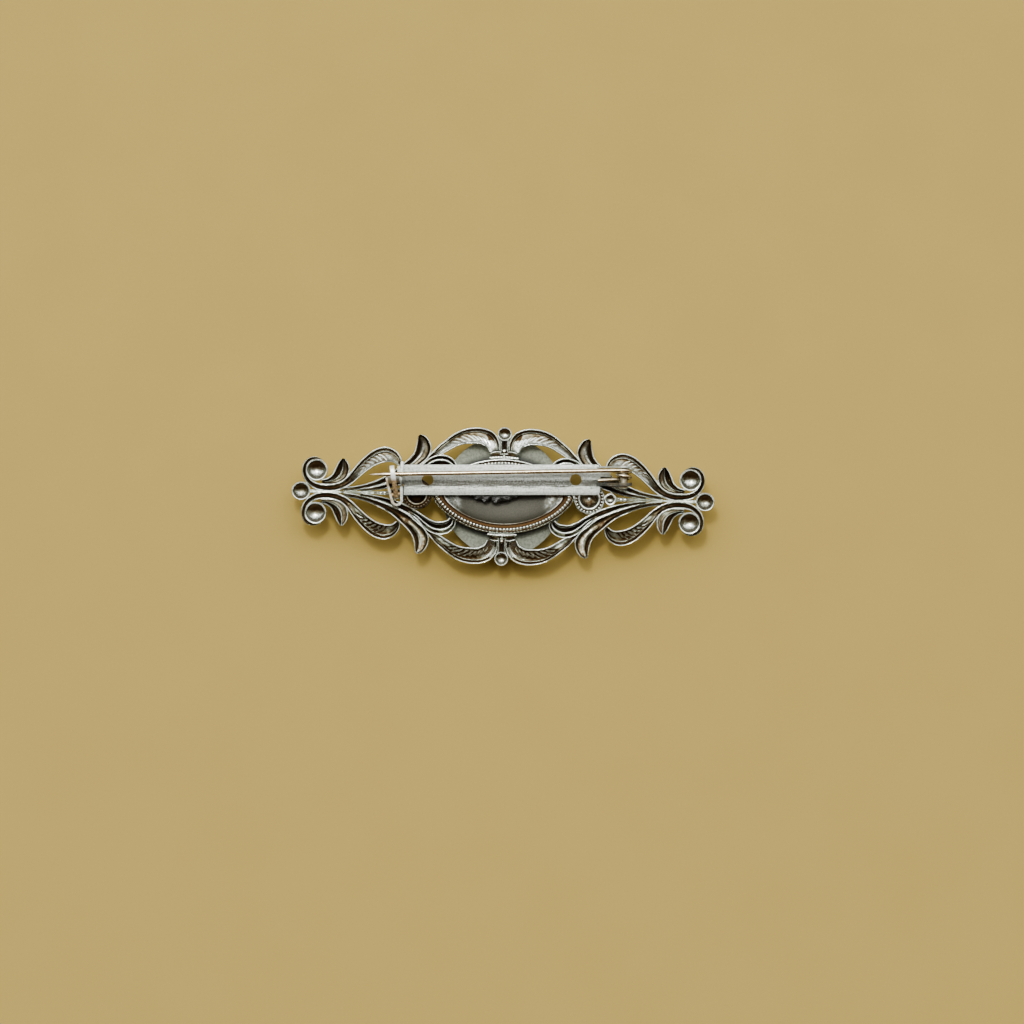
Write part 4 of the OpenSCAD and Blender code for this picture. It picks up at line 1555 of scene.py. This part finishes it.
    def mark(self, piece: Piece) -> None:
        """Writes the attributes "hollow", which holds depth, tarnish, painted shade and painted highlights,
        and "dull", which the finish reads.

        Args:
            piece: the plate, before it is turned.
        """
        points = Workbench.points(piece)
        depth = self.rim_z - points[:, 2]
        # Depth below the surroundings browns the metal, as tarnish in the hollows and as painted shade in the
        # recesses.
        hollow = self.sunk(points) * self.hollow_gain + np.clip(depth * self.depth_gain, 0, self.depth_most)
        hollow += self.grime_and_painted_shade(points) + self.between_hatches(points) + self.beside_edges(points)
        low = depth > self.low_from
        sizes = (self.oval_dome, self.oval_dome, self.oval_beads, self.oval_beads, self.oval_rim)
        inside = [self.inside_oval(points, (size[0] + step, size[1] + self.oval_narrow * step))
                  for size, step in zip(sizes, self.oval_steps)]
        # The seam at the dome's edge gets painted shade, the band and the bead row tarnish, and the groove a
        # darkening.
        amounts = (self.seam_shade, self.band_grime, self.bead_grime, self.groove_darkening)
        for inner, outer, amount in zip(inside, inside[1:], amounts):
            hollow[outer & ~inner & low] += amount
        facing = np.empty(len(points) * 3)
        piece.data.vertices.foreach_get("normal", facing)
        hollow *= ease(*self.front_clean, facing[2::3])
        bare = self.bare_share * ease(self.bare_from, self.bare_from + self.bare_reach, np.abs(points[:, 0]))
        for label, value in (("hollow", hollow), ("dull", (inside[0] & low) * (1 - bare))):
            attribute = piece.data.attributes.new(label, "FLOAT", "POINT")
            attribute.data.foreach_set("value", value.astype(np.float32))

    def build(self, material: Material) -> None:
        """Makes the whole plate and hands it over.

        Args:
            material: the plate's finish.
        """
        body = self.quarter()
        for along in (0, 1):
            Workbench.combine(body, self.mirrored(body, along), Cut.ADD)
        for stroke, along in ((COLUMN, 1), (AXIS_SPINE, 0)):
            self.stamp_twice(body, along, *self.stroke(stroke))
        for cup, along in ((SIDE_CUP, 0), (AXIS_BEAD, 0), (END_CUP, 0), (KNOB, 1)):
            self.stamp_twice(body, along, *self.cup(cup))
        inner = [size - self.lap for size in self.oval_rim]
        cutter = self.lofted("cutter", [(*inner, z) for z in CLEARED], self.oval_cutter_points)
        self.stamp(body, self.dome(), cutter)
        Workbench.combine(body, self.oval_ring(), Cut.ADD)
        Workbench.combine(body, self.trimmings(), Cut.ADD)
        Workbench.thin(body, self.most_triangles)
        self.mark(body)
        body.data.transform(Matrix.Rotation(math.radians(self.turn), 4, "Z"))
        Workbench.deliver(body, "ornament_plate", Body.BROOCH, "ornament", material, ("ornament",),
                          self.smooth_angle)


@dataclass
class FrontDisc:
    """Round disc on the front, which lies lowest.

    The tables hold distances inwards from the edge, with heights over the bottom or under the top.
    """

    radius: float = 9.4
    thickness: float = 3.0
    around: int = 128
    smooth_angle: float = 35.0

    front_edge = ((2.5, 0.0), (2.0, 0.05), (1.2, 0.3), (0.8, 0.56), (0.4, 0.9), (0.15, 1.3), (0.0, 1.8))
    back_edge = ((0.0, 0.15), (0.05, 0.05), (0.15, 0.0))

    def build(self, material: Material) -> None:
        """Spins the disc and hands it over.

        Args:
            material: the disc's finish.
        """
        low = [(self.radius - inset, z) for inset, z in self.front_edge]
        high = [(self.radius - inset, self.thickness - drop) for inset, drop in self.back_edge]
        profile = [(0, 0), *low, *high, (0, self.thickness)]
        disc = Workbench.turned("front_disc", profile, (0, 0, 0), steps=self.around)
        Workbench.deliver(disc, "front_disc_round", Body.BROOCH, "disc", material, ("front_disc",),
                          self.smooth_angle)


@dataclass
class BondPad:
    """Uneven lump of bonding compound in the hollow of the oval, under the bar.

    A slice holds its height, its middle's y, its half length and its half width. The waves hold a
    size, a count round the lump and a shift. The notch holds its depth, its angle and its width.
    """

    dome_floor: float = 3.55
    middle_x: float = -1.4
    around: int = 240
    lumps: float = 0.09
    lump_count: int = 13
    notch: tuple[float, float, float] = (0.3, 4.5, 0.1)
    smooth_angle: float = 60.0
    slices: tuple[Row, ...] = (
        (0.26, 0.4, 1.3, 0.6), (0.3, 0.42, 1.8, 0.85), (0.6, 0.6, 3.0, 1.4), (0.95, 0.75, 3.8, 1.75),
        (1.3, 0.9, 4.1, 2.0), (1.6, 0.98, 4.28, 2.05), (1.76, 1.0, 4.2, 1.95), (1.83, 1.0, 3.6, 1.5))

    waves = ((0.06, 5, 1.1), (0.1, 14, 0.0))
    rough_waves = ((0.03, 9), (0.025, 17), (0.02, 29))

    def build(self, material: Material) -> None:
        """Lofts the lump with a wavy edge and hands it over.

        Args:
            material: the compound's finish.
        """
        a = np.linspace(0, 2 * math.pi, self.around, endpoint=False)
        deep, where, wide = self.notch
        wave = 1 - deep * np.exp(-((a - where) / wide) ** 2)
        for size, count, shift in self.waves:
            wave -= size * (1 + np.sin(count * a + shift)) / 2
        phases = np.random.default_rng(SEED).uniform(0, 2 * math.pi, (len(self.slices), 4))
        rings = []
        for (z, y, half_l, half_w), phase in zip(self.slices, phases):
            rough = sum(size * np.sin(count * a + shift)
                        for (size, count), shift in zip(self.rough_waves, phase))
            reach = np.minimum(wave + rough, 1.0)
            level = self.dome_floor + z - self.lumps * (1 + np.sin(self.lump_count * a + phase[3])) / 2
            rings.append(np.column_stack([self.middle_x + half_l * reach * np.cos(a),
                                          y + half_w * reach * np.sin(a), level]))
        pad = Workbench.tube("bond", np.array(rings))
        Workbench.deliver(pad, "bond_lump", Body.BROOCH, "bond", material, ("bond_pad",),
                          self.smooth_angle)


@dataclass
class PinBar:
    """Flat bar of the pin finding with its holes, ears, catch cheeks and flange.

    Each ear is given by its lower face's y and its thickness. The flange's outline is measured from
    the bar's corner at the catch, flange_over further out.
    """

    plate_z: float = 5.45
    plate_t: float = 0.5
    length: float = 30.4
    width: float = 4.68
    middle: Point = (-0.2, 2.57)
    hole_r: float = 0.9
    hole_gap: float = 23.0
    hole_faces: int = 48
    corner_r: float = 0.45
    tongue_y: Point = (3.05, 4.35)
    tongue_length: float = 1.7
    tongue_step: float = 0.1
    root_length: float = 1.0
    root_inset: float = 0.2
    channel_y: float = 2.0
    channel_r: float = 4.0
    channel_depth: float = 0.05
    channel_reach: float = 20.0
    channel_faces: int = 180
    flange_over: float = 0.5
    flange_height: float = 1.5
    hinge: Point = (18.7, 6.9)
    ear_r: float = 1.3
    ear_root: float = 0.5
    ear_angles: range = range(-90, 151, 12)
    ear_round: float = 0.36
    ear_segments: int = 3
    bore_r: float = 0.6
    bore_faces: int = 32
    low_ear: Point = (1.6, 0.5)
    high_ear: Point = (4.4, 0.25)
    catch_x: float = -17.0
    catch_y: float = 3.4386
    catch_turn: float = 8.0
    catch_half_w: float = 1.25
    catch_end_y: float = -0.6
    catch_end_r: float = 0.94
    catch_angles: range = range(180, 361, 15)
    catch_spare: float = 1.0
    cheek_t: float = 0.36
    cheek_top: float = 7.44
    catch_floor_y: float = 2.1
    floor_inset: float = 0.1
    cheek_end_y: float = 3.5886
    lock_at: Point = (0.3, 6.6)
    trunnion_bore: float = 0.35
    trunnion_faces: int = 24
    merge: float = 0.002
    flat_angle: float = 1.0
    ease_edge: float = 0.07
    smooth_angle: float = 40.0

    flange_outline = ((-0.45, -2.0), (0.0, -2.0), (0.0, -0.15), (-0.1, 0.0), (-0.3, 0.0), (-0.45, -0.15))

    def in_catch(self) -> Matrix:
        """Gives the move from a catch drawn straight along Y to its turned place.

        Returns:
            The move.
        """
        there = Matrix.Translation((self.catch_x, self.catch_y, 0))
        turn = Matrix.Rotation(math.radians(self.catch_turn), 4, "Z")
        return there @ turn @ Matrix.Translation((0, -self.catch_y, 0))

    def corners(self) -> tuple[float, float, float, float]:
        """Gives the plate's least x and y and its greatest x and y.

        Returns:
            The four edges of the plate.
        """
        half_l, half_w = self.length / 2, self.width / 2
        x, y = self.middle
        return x - half_l, y - half_w, x + half_l, y + half_w

    def plate(self) -> Piece:
        """Makes the flat plate with rounded hinge corners, its tongue and its two holes.

        Returns:
            The plate, at its height.
        """
        x0, y0, x1, y1 = self.corners()
        r = self.corner_r
        low = arc((x1 - r, y0 + r), (r, r), range(-90, 1, 30))
        high = arc((x1 - r, y1 - r), (r, r), range(0, 91, 30))
        end, (near, far) = x1 + self.tongue_length, self.tongue_y
        tongue = [(x1 + self.tongue_step, near), (end, near), (end, far), (x1, far)]
        end, side = x0 - self.root_length, y1 - self.root_inset
        root = [(x0, side), (end, side), (end, self.catch_floor_y), (x0, self.catch_floor_y)]
        plate = Workbench.slab("plate", [(x0, y0), *low, *tongue, *high, (x0, y1), *root], self.plate_t)
        for side in (-1, 1):
            at = (self.middle[0] + side * self.hole_gap / 2, self.middle[1], 0)
            Workbench.drill(plate, self.hole_r, at, Axis.Z, self.hole_faces)
        at = (0, self.channel_y, self.plate_t + self.channel_r - self.channel_depth)
        Workbench.drill(plate, self.channel_r, at, Axis.X, self.channel_faces, self.channel_reach)
        plate.data.transform(Matrix.Translation((0, 0, self.plate_z)))
        return plate

    def flange(self) -> Piece:
        """Makes the small upright flange at the catch end.

        Returns:
            The flange, at its place.
        """
        x0, _, _, y1 = self.corners()
        outline = [(x0 + dx, y1 + self.flange_over + dy) for dx, dy in self.flange_outline]
        flange = Workbench.slab("flange", outline, self.flange_height)
        flange.data.transform(Matrix.Translation((0, 0, self.plate_z)))
        return flange

    def ear(self, place: Point) -> Piece:
        """Makes one ear, standing on the plate's end, from a y and a thickness.

        Args:
            place: the lower face's y, and the thickness.

        Returns:
            The drilled ear, at its place.
        """
        y, thickness = place
        root_x = self.corners()[2] - self.ear_root
        outline = [(root_x, self.plate_z), *arc(self.hinge, (self.ear_r, self.ear_r), self.ear_angles),
                   (root_x, self.plate_z + self.plate_t)]
        ear = Workbench.slab("ear", outline, thickness)
        ear.data.transform(Matrix.Translation((0, y + thickness, 0)) @ Matrix.Rotation(math.pi / 2, 4, "X"))
        Workbench.drill(ear, self.bore_r, (self.hinge[0], y, self.hinge[1]), Axis.Y, self.bore_faces)
        Workbench.round_edges(ear, self.ear_round * thickness, self.ear_segments)
        return ear

    def catch_outline(self, inset: float, reach: float) -> list[Point]:
        """Gives the catch's outline from above, shrunk by inset, up to y = reach.

        Args:
            inset: how much the outline shrinks.
            reach: where its open end lies.

        Returns:
            The corners.
        """
        r, w = self.catch_end_r - inset, self.catch_half_w - inset
        bend = arc((0, self.catch_end_y), (r, r), self.catch_angles)
        return [*bend, (w, self.catch_floor_y), (w, reach), (-w, reach), (-w, self.catch_floor_y)]

    def catch(self) -> Piece:
        """Makes the two cheeks joined round their end, the floor and the trunnions' bores.

        Returns:
            The catch, at its place.
        """
        high, spare = self.cheek_top - self.plate_z, self.catch_spare
        near, far = self.catch_floor_y, self.cheek_end_y
        catch = Workbench.slab("catch", self.catch_outline(0, far), high)
        inside = Workbench.slab("inside", self.catch_outline(self.cheek_t, far + spare), high + 2 * spare)
        inside.data.transform(Matrix.Translation((0, 0, -spare)))
        Workbench.combine(catch, inside, Cut.REMOVE)
        w = self.catch_half_w - self.floor_inset
        floor = Workbench.slab("floor", ((-w, near), (w, near), (w, far), (-w, far)), self.plate_t)
        Workbench.combine(catch, floor, Cut.ADD)
        catch.data.transform(Matrix.Translation((0, 0, self.plate_z)))
        Workbench.drill(catch, self.trunnion_bore, (0, *self.lock_at), Axis.X, self.trunnion_faces)
        catch.data.transform(self.in_catch())
        return catch

    def build(self, material: Material) -> None:
        """Joins the bar's parts into one solid, eases its edges and hands it over.

        Args:
            material: the bar's finish.
        """
        bar = self.plate()
        for part in (self.flange(), self.ear(self.low_ear), self.ear(self.high_ear), self.catch()):
            Workbench.combine(bar, part, Cut.ADD)
        Workbench.pick(bar)
        bpy.ops.object.mode_set(mode="EDIT")
        bpy.ops.mesh.select_all(action="SELECT")
        bpy.ops.mesh.remove_doubles(threshold=self.merge)
        bpy.ops.mesh.dissolve_limited(angle_limit=math.radians(self.flat_angle))
        bpy.ops.object.mode_set(mode="OBJECT")
        Workbench.round_edges(bar, self.ease_edge)
        Workbench.deliver(bar, "pin_bar", Body.BROOCH, "bar", material, ("bar",),
                          self.smooth_angle)


@dataclass
class HingeRivet:
    """Rivet through the ears, with a domed head below and a flat end above."""

    x: float = 18.7
    z: float = 6.9
    start_y: float = 1.55
    end_y: float = 4.7
    shank_r: float = 0.55
    head_r: float = 0.85
    head_t: float = 0.45
    end_t: float = 0.12
    end_inset: float = 0.04
    end_part: float = 0.7
    around: int = 40
    smooth_angle: float = 40.0

    def build(self, material: Material) -> None:
        """Spins the rivet and hands it over.

        Args:
            material: the rivet's finish.
        """
        dome = arc((0, 0), (self.head_r, -self.head_t), range(75, -1, -15))
        far = self.end_y - self.start_y
        top = far + self.end_t
        profile = [(0.0, -self.head_t), *dome, (self.shank_r, 0.0), (self.shank_r, far), (self.head_r, far),
                   (self.head_r - self.end_inset, far + self.end_t * self.end_part), (self.shank_r, top),
                   (0.0, top)]
        rivet = Workbench.turned("rivet", profile, (self.x, self.start_y, self.z), Axis.Y, self.around)
        Workbench.deliver(rivet, "hinge_rivet_domed", Body.BROOCH, "rivet", material, ("hinge_rivet",),
                          self.smooth_angle)


@dataclass
class PinWire:
    """Sprung wire: tail, coil round the rivet, stem and sharpened tip."""

    radius: float = 0.33
    coil_r: float = 0.95
    hinge: Point = (18.7, 6.9)
    stem_y: float = 4.02
    tail_y: float = 2.72
    turns: float = 1.5
    tip: Point = (-20.6, 3.38)
    tip_length: float = 2.4
    tip_r: float = 0.05
    tip_start: float = 0.9
    tip_power: float = 0.8
    stem_start: float = 0.3
    tail_start: float = 0.35
    tail_length: float = 4.0
    tail_rise: float = 6.5
    tail_turn: float = 4.0
    tail_end: float = 0.8
    tail_rows: int = 12
    coil_rows: int = 64
    stem_rows: int = 40
    tip_rows: int = 14
    sides: int = 24
    smooth_angle: float = 50.0

    def route(self) -> tuple[np.ndarray, np.ndarray]:
        """Gives the wire's middle line and radii from the tail's end to the tip.

        Returns:
            The middle line's points, and the wire's radius at each.
        """
        x, z = self.hinge
        rise, turn = math.radians(self.tail_rise), math.radians(self.tail_turn)
        root = np.array([x, self.tail_y, z - self.coil_r])
        away = np.array([-math.cos(rise) * math.cos(turn), -math.cos(rise) * math.sin(turn), math.sin(rise)])
        tail = [root + away * part for part in np.linspace(self.tail_length, self.tail_start, self.tail_rows)]
        angles = -math.pi / 2 + np.linspace(0, self.turns * 2 * math.pi, self.coil_rows)
        aside = np.linspace(self.tail_y, self.stem_y, self.coil_rows)
        coil = [np.array([x + self.coil_r * math.cos(a), y, z + self.coil_r * math.sin(a)])
                for a, y in zip(angles, aside)]
        start = np.array([x, self.stem_y, z + self.coil_r])
        end = np.array([*self.tip, z + self.coil_r])
        length = np.linalg.norm(end - start)
        marks = np.concatenate([np.linspace(self.stem_start, length - self.tip_length, self.stem_rows),
                                length - self.tip_length * np.linspace(self.tip_start, 0, self.tip_rows)])
        stem = [start + (end - start) * mark / length for mark in marks]
        path = np.array(tail + coil + stem)
        radii = np.full(len(path), self.radius)
        sharp = np.clip((length - marks) / self.tip_length, 0, 1) ** self.tip_power
        radii[-len(marks):] = self.tip_r + (self.radius - self.tip_r) * sharp
        radii[0] = self.radius * self.tail_end
        return path, radii

    def build(self, material: Material) -> None:
        """Sweeps the wire and hands it over."""
        wire = Workbench.rod("wire", *self.route(), self.sides)
        Workbench.deliver(wire, "sprung_wire", Body.PIN, "wire", material, ("pin_wire",),
                          self.smooth_angle)


@dataclass
class SafetyLock:
    """Lever between the catch's cheeks, with a tongue hooked over the wire.

    The arm's two places are measured from the trunnions, and the tongue's from the wire's middle.
    """

    bar: PinBar
    width: float = 0.7
    boss_r: float = 0.62
    boss_angles: range = range(130, 320, 15)
    edge_r: float = 0.06
    trunnion_r: float = 0.3
    trunnion_over: float = 0.05
    trunnion_edge: float = 0.05
    trunnion_faces: int = 24
    wire_z: float = 7.85
    smooth_angle: float = 40.0

    arm = ((1.2, 0.25), (1.5, 1.45))
    tongue = ((-0.45, 0.42), (0.5, 0.42), (0.8, 0.2), (0.95, -0.1), (1.0, -0.34), (1.2, -0.36), (1.34, -0.28),
              (1.28, 0.2), (1.05, 0.56), (0.75, 0.72), (0.2, 0.78), (-0.4, 0.78))

    def build(self, material: Material) -> None:
        """Shapes the lever from its side outline, adds its trunnions and hands it over.

        Args:
            material: the lever's finish.
        """
        y, z = self.bar.lock_at
        below, above = [(y + dy, z + dz) for dy, dz in self.arm]
        tongue = [(self.bar.catch_y + dy, self.wire_z + dz) for dy, dz in self.tongue]
        outline = [*arc((y, z), (self.boss_r, self.boss_r), self.boss_angles), below, *tongue, above]
        lever = Workbench.slab("lever", outline, self.width)
        stand = Matrix(((0, 0, 1, -self.width / 2), (1, 0, 0, 0), (0, 1, 0, 0), (0, 0, 0, 1)))
        lever.data.transform(stand)
        Workbench.round_edges(lever, self.edge_r)
        half, r, edge = self.bar.catch_end_r + self.trunnion_over, self.trunnion_r, self.trunnion_edge
        profile = ((0, -half), (r - edge, -half), (r, edge - half), (r, half - edge), (r - edge, half),
                   (0, half))
        pin = Workbench.turned("trunnion", profile, (0, y, z), Axis.X, self.trunnion_faces)
        Workbench.combine(lever, pin, Cut.ADD)
        lever.data.transform(self.bar.in_catch())
        Workbench.deliver(lever, "lock_lever", Body.LOCK, "lock", material, ("safety_lock",),
                          self.smooth_angle)


@dataclass
class Studio:
    """Camera straight above, a plain pale surface and soft light from the picture's top.

    The room's light follows the sky's stops from bottom to top of the picture, and is dimmed towards
    its sides over side_range and towards the floor below low_reach.
    """

    picture_width: float = 0.159
    picture_pixels: int = 1024
    origin_px: Point = (503.0, 496.4)
    camera_z: float = 0.56
    focus_z: float = 0.0054
    sensor: float = 36.0
    nearest: float = 0.01
    floor_size: float = 1.6
    lamp_at: tuple[float, float, float] = (-0.05, 0.2, 0.52)
    lamp_size: float = 0.07
    lamp_power: float = 1.9
    lamp_colour: Colour = (1.0, 0.98, 0.95)
    glow: float = 7.0
    side_range: Point = (0.2, 0.75)
    side_loss: float = 0.65
    low_reach: float = 0.35
    low_light: float = 0.3

    sky = ((0.0, (0.014, 0.007, 0.002)), (0.42, (0.018, 0.009, 0.0025)), (0.5, (0.05, 0.045, 0.035)),
           (0.555, (0.2, 0.19, 0.18)), (0.595, (0.9, 0.9, 0.88)), (0.63, (1.0, 1.0, 1.0)),
           (0.74, (1.0, 1.0, 1.0)), (0.83, (0.4, 0.4, 0.4)), (0.93, (0.2, 0.2, 0.2)),
           (1.0, (0.1, 0.1, 0.1)))

    def camera(self) -> None:
        """Sets the camera so that the model's origin falls on its pixel."""
        scale = self.picture_width / self.picture_pixels
        middle = self.picture_pixels / 2
        at = ((middle - self.origin_px[0]) * scale, (self.origin_px[1] - middle) * scale, self.camera_z)
        bpy.ops.object.camera_add(location=at, rotation=(0, 0, 0))
        camera = Workbench.latest("studio_camera")
        camera.data.sensor_width = self.sensor
        camera.data.lens = self.sensor * (self.camera_z - self.focus_z) / self.picture_width
        camera.data.clip_start = self.nearest
        bpy.context.scene.camera = camera

    def lamp(self) -> None:
        """Adds a square soft lamp that looks at the brooch."""
        bpy.ops.object.light_add(type="AREA", location=self.lamp_at)
        lamp = Workbench.latest("key_lamp")
        lamp.rotation_euler = (-Vector(self.lamp_at)).to_track_quat("-Z", "Y").to_euler()
        lamp.data.size = self.lamp_size
        lamp.data.energy = self.lamp_power
        lamp.data.color = self.lamp_colour

    def room(self) -> None:
        """Surrounds the scene with soft light."""
        world = bpy.data.worlds.new("soft_room")
        world.use_nodes = True
        world.node_tree.nodes.clear()
        nodes = Nodes(world.node_tree)
        seen = nodes.add("ShaderNodeTexCoord").outputs["Generated"]
        way = nodes.add("ShaderNodeSeparateXYZ", {0: seen}).outputs
        across = nodes.add("ShaderNodeMapRange", {"Value": way["Y"], "From Min": -1.0}).outputs["Result"]
        sides = nodes.spread(nodes.math("ABSOLUTE", way["X"]), *self.side_range)
        low = nodes.between(nodes.spread(way["Z"], 0.0, self.low_reach), self.low_light, 1.0)
        dimmed = nodes.math("MULTIPLY", nodes.rest(nodes.math("MULTIPLY", sides, self.side_loss)), low)
        sky = nodes.add("ShaderNodeBackground", {"Color": nodes.ramp(across, self.sky),
                                                 "Strength": nodes.math("MULTIPLY", dimmed, self.glow)})
        nodes.add("ShaderNodeOutputWorld", {"Surface": sky.outputs["Background"]})
        bpy.context.scene.world = world

    def build(self, surface: Material) -> None:
        """Sets up the floor, the lamp, the surrounding light and the camera.

        Args:
            surface: the floor's finish.
        """
        bpy.ops.mesh.primitive_plane_add(size=self.floor_size)
        floor = Workbench.latest("floor")
        floor.data.materials.append(surface)
        self.lamp()
        self.room()
        self.camera()


FINISHES = (
    TarnishedSilver("tarnished_silver", roughness=0.2, bump=0.5, bump_size=0.000012),
    SatinPlate("satin_plate", metallic=0.85, roughness=0.55, bump=0.35),
    PlainGrain("bright_steel", roughness=0.36, light=(0.62, 0.62, 0.56), dark=(0.30, 0.26, 0.17),
               fine_scale=4000.0),
    RubbedShadedLever("browned_shaded_steel", metallic=0.4, roughness=0.42),
    PlainGrain("warm_wire", roughness=0.24, bump=0.1, light=(0.66, 0.59, 0.44), dark=(0.40, 0.31, 0.18)),
    # The disc's finish paints the oval rim's shadow onto it.
    PlainGrain("matte_disc", metallic=0.0, roughness=0.75, bump=0.5, light=(0.25, 0.27, 0.205),
               dark=(0.105, 0.12, 0.084), broad_scale=2600.0, oval=(0.0111, 0.0058)),
    PlainGrain("dark_bond", metallic=0.0, roughness=0.3, bump=1.0, bump_size=0.00025,
               light=(0.016, 0.017, 0.013), dark=(0.003, 0.003, 0.002), fine_scale=3000.0,
               broad_scale=1300.0, shine=0.45),
    PlainGrain("pale_surface", metallic=0.0, roughness=0.9, light=(0.352, 0.247, 0.048),
               dark=(0.338, 0.234, 0.044), fine_scale=2500.0, broad_scale=60.0))


def main() -> None:
    """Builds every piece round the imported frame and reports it."""
    logging.basicConfig(level=logging.INFO, format="%(message)s")
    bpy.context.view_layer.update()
    grain, wear_and_crease_shade = Effects.grain(), Effects.wear_and_crease_shade()
    made = {finish.name: finish.make(grain, wear_and_crease_shade) for finish in FINISHES}
    Ornament().build(made["tarnished_silver"])
    FrontDisc().build(made["matte_disc"])
    BondPad().build(made["dark_bond"])
    bar = PinBar()
    bar.build(made["satin_plate"])
    HingeRivet().build(made["bright_steel"])
    PinWire().build(made["warm_wire"])
    SafetyLock(bar).build(made["browned_shaded_steel"])
    Studio().build(made["pale_surface"])


if __name__ == "__main__":
    main()
